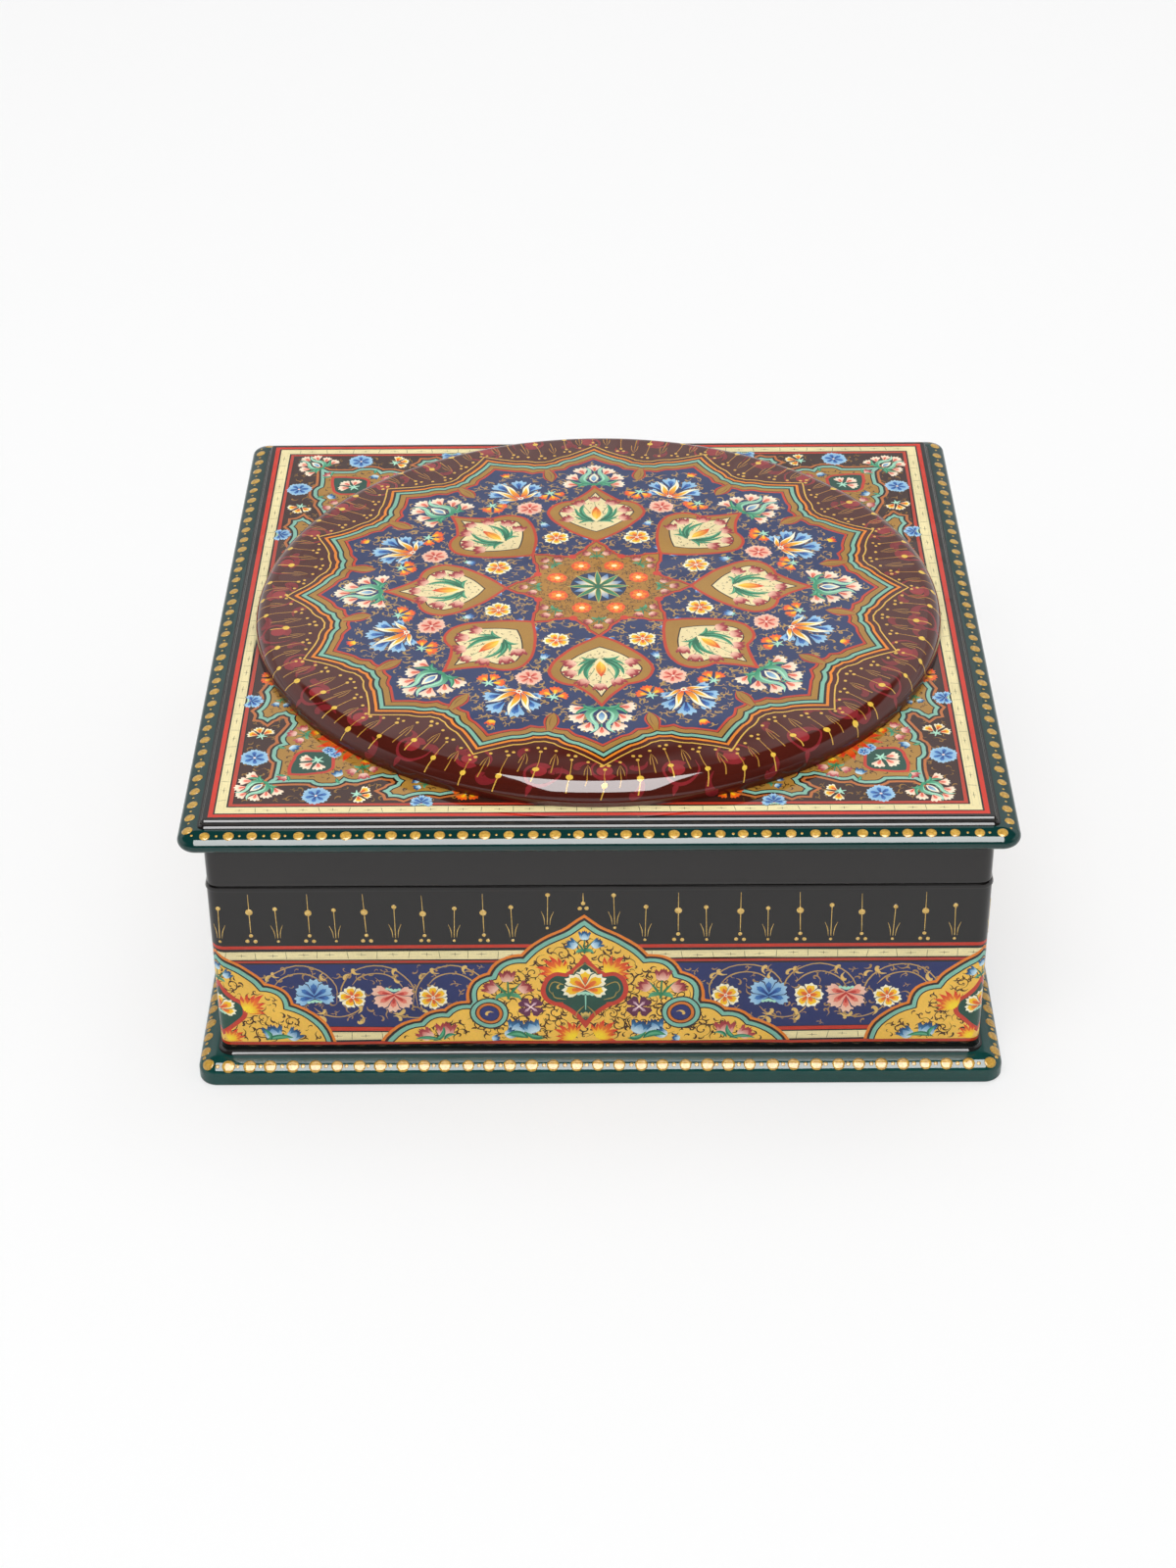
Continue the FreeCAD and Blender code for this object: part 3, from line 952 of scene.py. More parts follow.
def spray_in_cartouche():
    """An orange bud between green leaves, with seven tulips on stalks."""
    marks = fill_with_curls(parallel(cream_shape, -0.5), "#4a3222", 1.35, 0.75, tries=420)
    for x, y, turn in in_pairs([(6.1, 35.8, 58), (6.4, 40.4, 52), (3.4, 44.2, 30)], (0, 46.4, 0)):
        spot = complex(x + nudge(0.25), y + nudge(0.25))
        marks += stem([0.2 * x + 36.5j, 0.6 * x + 1j * (0.5 * y + 18.6), spot], 0.22)
        marks += moved(tulip(1.05, "#8a1e2c", "#bc4a4a", "#f0c4a8"), spot, turn + nudge(6),
                       3.4 if y > 46 else 3.7)
    for side in (-1, 1):
        marks += two_tone_leaf(side * 0.3 + 35j, side * 6.0 + 38.2j, 1.1, side * -0.1, "#155a40")
        marks += two_tone_leaf(side * 0.3 + 34.8j, side * 5.6 + 42.8j, 1.3, side * -0.14, "#155a40")
        marks += two_tone_leaf(side * 0.4 + 35.2j, side * 3.0 + 45.2j, 1.3, side * -0.2, "#155a40")
        marks += two_tone_leaf(side * 0.2 + 34.9j, side * 4.8 + 33.9j, 1.1, side * 0.2, "#155a40")
    marks += [(leaf(34.9j, 43.2j, 3.4, 0, 4), fade("#f6e6b0", "#f4d080", 35j, 43j)),
              (leaf(36.2j, 43.4j, 2.5, 0, 4), fade("#f8c81c", "#d83a14", 36.2j, 42.5j)),
              (leaf(36.4j - 0.1, 42j + 0.3, 1.0, 0.1), fade("#fce048", "#f0801c", 36.4j, 42j))]
    return marks


print("cartouche spray:", len(spray_in_cartouche()), "marks")

# %% Two palmettes
jade = "#1f7a58"


def green_palmette():
    """Green leaves that open like a lyre round a pale drop, with seven white and red flowers."""
    marks = []
    for x, y, turn in in_pairs([(6.6, 57.0, 78), (5.9, 61.0, 50), (3.7, 64.8, 24)], (0, 67.0, 0)):
        way = 1j * np.exp(1j * math.radians(turn))
        foot = complex(x + nudge(0.2), y + nudge(0.2)) - 2.1 * way
        marks += [(brush([foot - 2.6 * way, foot], [0.3, 0.5], 2), flat("#4f9c7a"))]
        marks += moved(petal(white_petal, 0.98, 4, 0.24, 0.6), foot, turn + nudge(7),
                       4.2 * (1 + nudge(0.06)))
    for side in (-1, 1):
        marks += two_tone_leaf(side * 0.6 + 57.2j, side * 6.6 + 59.6j, 1.3, side * -0.2, jade, "#84c8a4")
        marks += two_tone_leaf(side * 0.8 + 56.8j, side * 4.6 + 55.0j, 1.2, side * 0.24, jade, "#66b892")
        marks.append((brush([side * 0.4 + 56.4j, side * 2.9 + 58.6j, side * 2.8 + 61.4j, side * 1.5 + 63.8j,
                             side * 1.7 + 66.0j, side * 3.3 + 67.6j], [0.7, 1.9, 1.7, 1.2, 0.8, 0.05], 4),
                      fade("#2a8a64", "#a8dcc0", 57j, 66j)))
        marks.append((brush([side * 0.9 + 57.4j, side * 2.6 + 59.4j, side * 2.4 + 61.6j, side * 1.4 + 63.8j],
                            [0.1, 0.55, 0.5, 0.1], 4), fade("#7cc8a0", "#c4ecd4", 57j, 65j)))
    marks += [(leaf(57.6j, 63.8j, 3.0, 0, 4), flat("#1c2c5c")),
              (leaf(57.9j, 63.5j, 2.6, 0, 4), fade("#f4eccc", "#f4ecd0", 58j, 64j)),
              (leaf(58.5j, 62.4j, 1.5, 0, 4), fade("#2f6cae", "#b8dce4", 58.6j, 62.6j)),
              (disc(56.7j, 0.8, 9), fade("#3f9c70", jade, 56j, 57.6j))]
    return marks


def blue_palmette():
    """Five flame-coloured petals with long white tips, and five blue toothed flowers between them."""
    foot, marks = 53.2j, []
    for turn, near, size in ((84, 2.6, 4.2), (-84, 2.6, 4.2), (50, 4.4, 5.2), (-50, 4.4, 5.2),
                             (17, 5.6, 5.6), (-19, 5.8, 5.4)):
        spot = foot + near * 1j * np.exp(1j * math.radians(turn))
        marks += moved(petal(blue_petal, 0.84, 4, 0.24, 0.64), spot, turn + nudge(6),
                       size * (1 + nudge(0.06)))
    for turn, reach, bend_way in ((70, 6.6, 0.24), (-70, 6.6, -0.24), (31, 9.6, 0.2), (-31, 9.6, -0.2),
                                  (nudge(4), 10.4, 0.16)):
        tip = 1j + (0.16 if bend_way < 0 else -0.16)
        blade = [0, 0.32j - bend_way * 0.42, 0.68j - bend_way * 0.36, tip]
        marks += moved([(brush(blade, [0.06, 0.2, 0.235, 0.13, 0.0], 5), flat("#202a5a")),
                        (brush(blade[:3] + [tip - 0.02j], [0.04, 0.16, 0.19, 0.1, 0.0], 5), flat("#f6eed2")),
                        (brush([0.05j, 0.3j - bend_way * 0.36, 0.66j - bend_way * 0.36],
                               [0.03, 0.16, 0.13, 0.0], 5),
                         fade("#e4481c", "#fcd21c", 0.1j, 0.62j))], foot, turn, reach)
    return marks + [(disc(foot, 0.8, 8), flat("#f4e8c8")), (disc(foot, 0.4, 6), flat("#d8502c"))]


print("the palmettes take", len(blue_petal), "and", len(white_petal), "tones to a petal")

# %% Buds and tulips on stalks


def sky_bud(size):
    """A small blue bud in a mint cup."""
    return (moved(tulip(0.85, *sky_tones), size=size)
            + [(brush([-0.36 - 0.1j, 0.03j, 0.36 - 0.1j], [0.04, 0.17, 0.04], 3) * size, flat("#9cd8c4")),
               (brush([0, -0.4j], [0.12, 0.05], 3) * size, flat("#9cd8c4"))])


def tulip_trio(size, tones=("#84222e", "#bc5450", "#f0c4ac"), green_tone="#2f7a50"):
    """Three tulips on forked stalks with two leaves at the foot."""
    marks = []
    for turn, spot in ((0, 1.15j), (58, -0.62 + 0.52j), (-58, 0.62 + 0.52j)):
        marks += moved(tulip(1.02, *tones), spot * size, turn + nudge(6), size * (0.95 + nudge(0.06)))
    for side in (-1, 1):
        marks.append((brush([0, side * 0.3 + 0.55j, side * 0.8 + 1.15j], [0.12, 0.16, 0.02], 4) * size,
                      flat(green_tone)))
        marks.append((leaf(0.1j, side * 0.72 - 0.12j, 0.34, side * 0.25) * size,
                      fade(green_tone, "#55a47a", 0, side * 0.6 * size)))
    marks.append((brush([-0.15j, 1.2j], [0.16, 0.1], 3) * size, flat(green_tone)))
    return marks


print("a bud's tones:", sky_tones)

# %% The rim's ground and the outline of sixteen points
maroon, gold, gold_band, ink = "#4c1a12", "#dcae4a", "#a4782e", "#241610"
red_line = "#c03c22"
medallion = [(disc(0, dome_arc, 360), flat(maroon))]
# brighter maroon scrolls, painted wet into the rim
for k in range(32):
    spot = polar(11.25 * k + nudge(1.2), 83.2 + (k % 2) * 1.2)
    angles = np.radians(np.linspace(150, 500, 9)) * (-1 if k % 2 else 1)
    ways = list(np.exp(1j * angles) * np.linspace(5.5, 2.2, 9))
    scroll = [(brush(ways, [0.1, 0.6, 0.9, 0.6, 0.9, 1.6, 2.1], 3), flat("#86282c")),
              (disc(0.3, 2.0, 12), flat("#942c30")),
              (brush([ways[3], ways[3] * 1.25, ways[3] * 1.5 + 0.8j], [0.9, 1.5, 0.2], 3), flat("#86282c"))]
    medallion += moved(scroll, spot, -11.25 * k)
    for between, level, size in ((5.6, 86.4, 5.2), (3.2, 79.6, 4.2)):
        medallion += moved(comma("#7c2428", 0.44), polar(11.25 * k + between + nudge(1.5), level + nudge(1)),
                           hand.uniform(0, 360), size, k % 2 == 0)
medallion += nested(ring_line, [
    (3.4, gold), (3.0, maroon), (1.85, "#e4821e"), (1.14, ink), (0.52, "#7cb49e"), (-0.45, ink),
    (-0.9, gold_band), (-2.35, ink), (-2.55, red_line), (-3.25, "#26345e")])
print("rim:", len(medallion), "marks")

# %% The blue field and what grows on it
field = parallel(ring_line, -3.7)
medallion += fill_with_curls(field, "#b08c50", 2.75, 1.75, tries=7000)
for k in range(16):
    drop = [67.4j, 66.2j, 64.4j, 62.4j, 60.7j, 59.3j]
    line = [p + 0.5j * i / 5 for i, p in enumerate(drop)]
    tongue = [(brush(line, [share * width for share in (0.5, 0.62, 0.95, 1, 0.6, 0)], 5), flat(code))
              for width, code in ((3.9, red_line), (2.9, ink), (2.55, gold_band))]
    tongue.append((leaf(66.0j, 61.2j, 0.26, 0.1, 3), flat("#7a5420")))
    medallion += moved(tongue, 0, -(11.25 + 22.5 * k))
for k in range(8):
    eighth = placed([
        (yellow_flower(3.75, 5 + k % 2, hand.uniform(0, 60)), polar(22.5, 28.2), 0),
        (round_flower(3.8, pink_petal, 6, 3, hand.uniform(0, 50), 0.8), polar(22.5, 46.6), 0),
        (blue_palmette(), 0, -22.5),
        (sky_bud(2.6), polar(22.5, 37.4), -22.5 + 180),
        (sky_bud(2.2), 1.7 + 25.9j, -80),
        (sky_bud(2.2), -1.7 + 25.9j, 80),
        (petal_spray(3.7, fire_petal), 11.9 + 51.2j, 162),
        (petal_spray(3.7, fire_petal), -11.9 + 51.2j, -162),
        (moved(tulip(1.0, *fire_tones), size=2.4), polar(23.6, 66.6), -23.6),
        (green_palmette(), 0, 0),
    ])
    eighth += nested(cartouche, [(0.4, red_line), (-0.42, gold_band)])
    eighth += nested(cream_shape, [(0.35, ink), (0, "#ead8a4")])
    medallion += moved(eighth + spray_in_cartouche(), 0, -45 * k)
print("with the field:", len(medallion), "marks")

# %% The star in the middle
star_flower = [(1, 1, "#e0401c", "#ee5a20"), (0.8, 0.7, "#f8a428", "#f47a1e")]
medallion += nested(star, [(0.42, red_line), (-0.35, ink), (-0.5, "#a87628")])
medallion += fill_with_curls(parallel(star, -0.9), "#3c2412", 1.2, 0.95, (spiral, comma, curl, sprig),
                             tries=3600, avoid=[(0, 8)])
for k in range(8):
    flower = round_flower(2.7, star_flower, 6, 2, hand.uniform(0, 60), 1.0)
    flower.append((disc(0, 0.75, 8), fade("#fcecb4", "#f8d870")))
    eighth = [(disc(polar(22.5, 17.0), 1.15, 10), flat("#cc3a26"))]
    eighth += moved(flower, polar(22.5, 11.6)) + moved(tulip_trio(2.75), 15.4j)
    medallion += moved(eighth, 0, -45 * k)
medallion += [(disc(0, 7.4, 40), flat("#1c3050"))]
for k in range(8):
    medallion += moved([(leaf(1.4j, 6.9j, 1.9), fade("#f4ecc4", "#3f7ab8", 2.2j, 6.4j))], 0,
                       -45 * k - 22.5 + nudge(1))
for k in range(8):
    blade = [(leaf(0, 8.4j, 1.7), flat("#d8b850")),
             (leaf(0, 8.0j, 1.35), fade("#1c5c40", "#3f9468", 0, 7.4j))]
    medallion += moved(blade, 0, -45 * k + nudge(1.2))
medallion += [(disc(0, 1.0, 10), flat("#1f6a48"))]
print("with the star:", len(medallion), "marks")

# %% Gold finials on the rim, leaves and long ones in turn
finial_count = 128
for k in range(finial_count):
    angle, step = 360 / finial_count * k + nudge(0.25), k % 8
    # each one starts just outside the outline, between 74.5 at a hollow and 81.7 at a point
    start = 73.6 + 7.2 * abs((angle % 22.5) / 11.25 - 1) ** 1.15 + nudge(0.5) + 0.9
    finial = []
    if step in (0, 2, 4, 6):
        big = 88.0 if step == 0 else start + 8.6 + nudge(0.9)
        big = min(big, 88.4)
        low = start + 2.0
        for spot in (-0.85 + 1j * start, 0.85 + 1j * (start + nudge(0.2)), 1j * (start + 1.5)):
            finial.append((disc(spot, 0.46 + nudge(0.07), 8), flat(gold)))
        finial.append((brush([1j * low, nudge(0.2) + 1j * (low + big) / 2, 1j * big], [0.17, 0.2, 0.24]),
                       flat("#c08e38")))
        finial.append((disc(1j * big, 0.8 + nudge(0.12), 10), flat("#e8c04a")))
        finial.append((brush([1j * big, 1j * (big + 1.8), nudge(0.4) + 1j * min(big + 4.2, 91.4)],
                             [0.2, 0.3, 0.34]), flat(gold)))
    else:
        finial.append((disc(1j * start, 0.45, 7), flat(gold)))
        reach = min(start + 9.0 + nudge(0.8), 88.6)
        for side, low, high in ((-1, 1.4, 0.62), (1, 1.4, 0.62), (0.15, 1.2, 1)):
            finial.append((brush([side * 0.12 + 1j * (start + low),
                                  side * 0.75 + 1j * (start + (reach - start) * 0.45 * high + 1),
                                  side * 0.9 + 1j * (start + (reach - start) * high)],
                                 [0.05, 0.2, 0.32 if side == 0.15 else 0.16]),
                           flat("#b88838")))
    medallion += moved(finial, 0, -angle)
print("medallion:", len(medallion), "marks")

# %% Cut the medallion and wrap it on the dome
rings = [s * np.exp(2j * np.pi * np.arange(361) / 360)
         for s in np.linspace(crown_arc - 0.3, dome_arc - 0.35, 16)]
points, corners, colours = cut_sheet(medallion, rings)
# the waver dies out near the edge, which has to keep the solid's outline
calm = np.clip((dome_arc - 1 - abs(points)) / 6, 0, 1)
points = points * np.exp(1j * math.radians(0.9) * calm) + waver(points, 21) * calm
place, facing = on_dome(points)
order = np.argsort(abs(points[corners].mean(1)))
for name, part in zip(("heart", "inner_field", "outer_field", "rim"), np.array_split(order, 4)):
    skin = (place[corners[part]], facing[corners[part]], colours[part])
    body_below = closed_below(place, corners[part], panel_top, "#232120")
    make_piece(f"medallion_{name}", [skin, body_below], painted_skin, "lid",
               ["lid_dome"] if name == "heart" else [])

# %% [markdown]
# ## The lid panel
# Round the dome the square panel shows its corners: a gold-brown spandrel with a curled teal
# outline in each, a strip of brown with single flowers, and a frame of red, cream and red
# lines. The cream line carries small crosses in thin black, drawn with a ruling pen.

# %% Ruled bands and squares
cream, pen = "#eadca6", "#4a4230"


def box_of(left, bottom, right, top):
    """The corners of an upright rectangle on the sheet."""
    return np.array([complex(left, bottom), complex(right, bottom), complex(right, top), complex(left, top)])


def ruled_band(low, high, start, end, pitch=7.4):
    """A cream band from start to end with cross lines and small crosses, drawn with a pen."""
    marks = [(box_of(start, low, end, high), flat(cream))]
    middle = (low + high) / 2
    for y in (middle - 0.34 * (high - low), middle + 0.34 * (high - low)):
        marks.append((brush([complex(start + 0.3, y), complex(end - 0.3, y + 0.04)], [0.05, 0.05], 2),
                      flat("#b8ac84")))
    at = start + pitch * 0.5
    while at < end - 1:
        lean = nudge(0.25)
        line = [complex(at - lean, low + 0.06), complex(at + lean, high - 0.06)]
        marks.append((brush(line, [0.1, 0.13, 0.08], 2), flat(pen)))
        spot = at + pitch * 0.5 + nudge(0.6)
        if spot < end - 2:
            line = [complex(spot - 1.3, middle + nudge(0.1)), complex(spot + 1.3, middle)]
            marks.append((brush(line, [0.05, 0.14, 0.05], 2), flat(pen)))
            line = [complex(spot, middle - 0.5), complex(spot, middle + 0.5)]
            marks.append((brush(line, [0.05, 0.13, 0.05], 2), flat(pen)))
        at += pitch + nudge(0.4)
    return marks


def square(half, rounding=0.0):
    if not rounding:
        return np.array([-1 - 1j, 1 - 1j, 1 + 1j, -1 + 1j]) * half
    quarter = np.exp(1j * np.linspace(0, np.pi / 2, 7)) * rounding
    return np.concatenate([(half - rounding) * (1 + 1j) * 1j**k + quarter * 1j**k for k in range(4)])


print("a square with rounded corners has", len(square(2.0, 0.5)), "points")

# %% The panel's ground, its frame of lines and the outline of its corners
sheet_edge = panel_axis + 2 * panel_arc
spandrel = [33 + 82j, 37.7 + 83.6j, 43.6 + 83.1j, 46.5 + 84.6j, 49.6 + 83.9j, 50.8 + 82.0j, 49.6 + 80.7j,
            48.0 + 79.6j, 47.4 + 77.9j, 48.9 + 75.8j, 52.2 + 75.2j, 55.2 + 76.3j, 58.4 + 77.7j, 61.4 + 76.9j,
            65.6 + 79.3j, 69.2 + 77.8j, 79.2 + 78.2j]
swell = [0.02, 0.08, 0.06, 0.1, 0.12, 0.1, 0.04, -0.06, -0.12, -0.12, 0.02, 0.02, -0.1, -0.2, -0.16, 0.03]
half_line = arcs(spandrel, swell, 4, closed=False)
half_line = np.concatenate([half_line, (1j * np.conj(half_line))[::-1][1:], [44 + 44j]])
brown, ochre, dark_line, box_green = "#3a1f18", "#a87c34", "#1c1512", "#1c4a3c"
box_line, rose_tones = "#c23a28", ("#a83440", "#cc6c68", "#f0c8b4")
panel = [(square(sheet_edge, sheet_edge - panel_axis), flat("#1c1a19")), (square(92.75), flat("#cc2e18")),
         (square(91.6), flat(dark_line)), (square(91.15), flat(cream))]
for k in range(4):
    panel += moved(ruled_band(88.75, 91.0, -89.5, 89.5, 7.6)[1:], 0, 90 * k)
panel += [(square(half), flat(code)) for half, code in
          ((88.6, dark_line), (88.15, "#b83a26"), (87.25, "#241512"), (86.95, brown))]
print("the panel's frame:", len(panel), "marks")

# %% Flowers on half a corner, and the corner's middle


def half_corner():
    """What grows on one half of a corner, below the diagonal."""
    return placed([
        (round_flower(3.7, blue_petal, 6, 4, hand.uniform(0, 45), 0.86), 84.0 + 67.6j, 0),
        (petal_spray(3.4, yellow_petal), 83.2 + 57.4j, 196),
        (side_flower(blue_petal, 3.2, brown), 87.0 + 42j, 90),
        (tulip_trio(2.1, blue_tones), 79.6 + 41j, 30),
        (tulip_trio(2.7, rose_tones), 71.4 + 57.6j, -100),
        (rays(8.8, 7, 130), 61.0 + 58.6j, -62),
        (rays(6.2, 5, 100), 47.5 + 70.5j, 18),
        (tulip_trio(2.3, fire_tones), 55.6 + 66.4j, -20),
        (round_flower(1.7, blue_petal, 5, 3, 0, 0.9), 64.6 + 66.2j, 0),
        (blue_tulip(2.6), 75.8 + 62.6j, 60),
        (two_tone_leaf(0, 2.4j, 1.0, 0.1), 76.6 + 63.2j, -110),
        (petal_spray(3.4, fire_petal), 82.6 + 31.5j, -60),
    ])


around = np.array([30 + 78j, 30 + 86.6j, 86.6 + 86.6j, 86.6 + 30j, 78 + 30j, 60 + 60j])
corner_bands = [(1.9, "#b86a34"), (1.15, ink), (0.52, "#84b8a4"), (-0.45, ink), (-0.8, ochre)]
green_box_line = both_halves([92.2j, 5.4 + 96.8j, 4.4 + 100.8j, 105.8j], [0.02, 0.16, 0.06])
for k in range(4):
    corner = fill_with_curls(around, "#8a6428", 2.1, 1.6, tries=1500)
    corner += nested(half_line, corner_bands)
    corner += fill_with_curls(parallel(half_line, -1.2), "#4a2e14", 1.66, 1.3, tries=3600, avoid=[(0, 86)])
    box = nested(green_box_line, [(0.4, box_line), (-0.45, box_green)])
    corner += moved(box + moved(petal_spray(4.0, white_petal), 98.0j), 0, -45)
    corner += moved(moved(green_palmette(), -55.6j), 79.6 + 77.8j, -45, 0.72)
    corner += half_corner()
    # the other half is mirrored on the diagonal: mirrored left to right and turned back by 90 degrees
    corner += moved(half_corner(), 0, -90, flip=True)
    bud = moved(tulip(1.1, *rose_tones), 0, -45, 2.5)
    for side in (-1, 1):
        bud += two_tone_leaf(0, 2.6 * np.exp(1j * math.radians(45 + side * 60)), 0.9, 0.1)
    corner += moved(bud, 75.4 + 75.4j)
    panel += moved(corner, 0, 90 * k)
print("panel:", len(panel), "marks")

# %% Cut the panel and wrap it
steps = np.linspace(0, 2 * panel_arc - 0.12, 9)[1:]
edges = [np.append(square(panel_axis + e, e), square(panel_axis + e, e)[:1]) for e in steps]
edges += [np.array([-1 - 1j, 1 - 1j, 1 + 1j, -1 + 1j, -1 - 1j]) * (panel_axis - 0.05)]
points, corners, colours = cut_sheet(panel, edges)
calm = np.clip((92.2 - np.maximum(abs(points.real), abs(points.imag))) / 3, 0, 1)
points = points + waver(points, 33, 0.13) * calm
place, facing = on_panel(points)
rim = place[open_edges(corners)]
underside = cap(rim, (0, 0, board_top), (0, 0, -1), "#232120")
make_piece("painted_panel", [(place[corners], facing[corners], colours), underside], painted_skin, "lid",
           ["lid_panel"])

# %% [markdown]
# ## The walls
# Each wall is painted the same way: gold finials on black above, a blue frieze with flowers
# between ruled lines, a gold arch in the middle, and half an arch at each end that goes on
# round the corner. The two halves of the frieze carry different flowers.

# %% Outlines of the arches
arch_middle = -3.6


def arch_outline():
    """The whole arch from its right half: an ogee peak, two lobes, a step over the curl, three lobes."""
    ogee = smooth([46.2j, 3.2 + 43.6j, 8.0 + 40.9j, 11.6 + 38.4j, 14.6 + 35.0j], 5)
    lobes = arcs([14.6 + 35.0j, 22.4 + 29.9j, 27.2 + 22.0j], [-0.2, -0.24], 8, closed=False)
    feet = arcs([27.9 + 20.4j, 33.8 + 18.1j, 40.2 + 15.4j, 49.4 + 8.6j], [-0.17, -0.17, -0.12], 6,
                closed=False)
    half = np.concatenate([ogee[:-1], lobes, feet])
    return np.concatenate([half, -np.conj(half[::-1])[:-1]])


def corner_outline():
    """Half an arch that stands on the corner, with its mirror half for the next wall."""
    ogee = smooth([36.0j, 2.3 + 34.2j, 6.0 + 31.8j, 9.0 + 29.2j, 10.8 + 26.6j], 5)
    lobes = arcs([10.8 + 26.6j, 16.6 + 20.6j, 26.8 + 8.6j], [-0.24, -0.15], 8, closed=False)
    half = np.concatenate([ogee[:-1], lobes])
    return np.concatenate([half, -np.conj(half[::-1])[:-1]])


arch_bands = [(1.95, "#e07c24"), (1.2, ink), (0.55, "#7cb8a4"), (-0.5, ink), (-0.85, "#f0be4c")]
print("arch outline:", len(arch_outline()), "points")

# %% The curls and the box of the middle arch
leaf_green, frame_red = "#1f6a48", "#c0321e"


def volute():
    """The round curl in which the arch's outline ends."""
    marks = [(disc(0, r, 30), flat(code)) for r, code in
             ((4.9, ink), (4.5, "#7cb8a4"), (3.5, ink), (3.15, "#d0742a"), (2.45, ink), (2.25, "#252e6c"))]
    return marks + moved(comma("#e0b860", 0.34), -1.0 + 0.3j, -10, 1.9)


def green_box():
    """The green quatrefoil with a white and yellow flower."""
    side = np.concatenate([arcs([36.2j, 4.9 + 30.6j], [0.07], 6, closed=False),
                           smooth([5.3 + 30.7j, 7.4 + 30.9j, 9.4 + 29.0j, 10.3 + 25.9j, 9.5 + 23.0j,
                                   7.6 + 21.5j, 5.9 + 21.2j], 4),
                           arcs([5.8 + 20.9j, 14.6j], [0.07], 6, closed=False)])
    line = np.concatenate([side[::-1], -np.conj(side)[1:-1]])
    marks = nested(line, [(0.6, box_line), (-0.6, box_green)])
    for side in (-1, 1):
        for points in ([0.3j + 34j, 2.6 + 32.0j, 3.2 + 30.0j],
                       [3 + 25.6j, 7.4 + 28.4j, 8.8 + 26j, 7.6 + 24j],
                       [0.4 + 20.6j, 2.2 + 18.4j, 2.4 + 16.8j], [4.6 + 22.6j, 7.4 + 23.4j, 8.0 + 25.2j]):
            scroll = brush(points, [0.1, 0.32, 0.2, 0.08], 4)
            marks.append((scroll if side > 0 else -np.conj(scroll), flat("#a89040")))
        marks += moved(comma("#c8a850", 0.3), side * 5.6 + 27.6j, 90 + side * 50, 1.7, side < 0)
    marks += [(brush([24.2j, 19.4j], [0.4, 0.2]), flat("#8cc8b0"))]
    marks += moved(side_flower(yellow_petal, 6.1, box_green), 26.4j)
    return marks + moved(tulip(1.1, "#d8b860", "#d8b860", box_green), 16.6j, 0, 2.2)


print("a curl at the outline's end is", len(volute()), "marks")

# %% Flowers of the arches and scrolls of the frieze
dark_pink_petal = [(1, 1, "#6a3050", "#5a2444"), (0.66, 0.34, "#f4d8dc", "#a06480")]


def arch_flowers():
    """Everything inside the middle arch but its box, for both halves with a fresh hand."""
    marks = moved(tulip_trio(3.0, blue_tones, leaf_green), 37.8j)
    for flip in (True, False):
        marks += placed([
            (rays(7.0, 7, 120), 5.6 + 30.8j, -48),
            (rays(6.0, 7, 120), 3.0 + 10.6j, -36),
            (tulip_trio(4.2), 18.8 + 23.4j, nudge(4)),
            (round_flower(3.4, dark_pink_petal, 4, 2, 45, 0.98), 13.4 + 20.4j, 0),
            (blue_tulip(4.8), 17.4 + 11.8j, 14),
            (blue_tulip(4.4), 12.6 + 12.0j, -24),
            (blue_tulip(3.4, 1.0), 20.0 + 11.0j, 56),
            (blue_tulip(2.2, 1.0), 23.4 + 10.2j, 74),
            (two_tone_leaf(-2.2 - 0.6j, 3.6 + 0.4j, 2.1, 0.16), 16.4 + 11.0j, 0),
            (two_tone_leaf(0, 5.0 + 2.0j, 1.4, -0.16), 10.2 + 10.6j, 0),
            (moved(tulip(1.05), size=4.8), 34.6 + 11.2j, 4),
            (moved(tulip(1.0), size=4.2), 38.2 + 10.8j, -44),
            (two_tone_leaf(0, -3.2 + 4.6j, 1.3, 0.2), 38.0 + 10.2j, 0),
            (two_tone_leaf(0, 6.6 + 0.3j, 1.1, 0.12), 35.6 + 10.3j, 0),
            (two_tone_leaf(0, -3.6 + 1.6j, 1.0, -0.2), 35.2 + 10.4j, 0),
        ], flip)
    return marks


def corner_flowers():
    """The box and flowers of the arch on a corner."""
    line = both_halves([28.4j, 3.8 + 23.3j, 6.2 + 19.8j, 5.0 + 16.8j, 12.2j], [0.04, -0.16, -0.12, 0])
    marks = nested(line, [(0.6, box_line), (-0.6, box_green)])
    marks += moved(side_flower(yellow_petal, 4.3, box_green), 20.2j)
    marks += moved(tulip_trio(2.7, blue_tones, leaf_green), 29.0j)
    half = placed([
        (rays(6.4, 7, 120), 6.4 + 19.8j, -44),
        (rays(4.6, 6, 110), 1.8 + 10.4j, -40),
        (blue_tulip(4.6), 13.2 + 10.6j, 10),
        (blue_tulip(4.0, 1.0), 16.8 + 10.4j, -44),
        (two_tone_leaf(-2.6 + 0j, 4.4 + 0.4j, 1.5, 0.12), 13.6 + 10.4j, 0),
        (two_tone_leaf(0, -1.6 + 3.4j, 1.0, -0.2), 12.2 + 10.2j, 0),
    ])
    return marks + moved(half, flip=True) + half


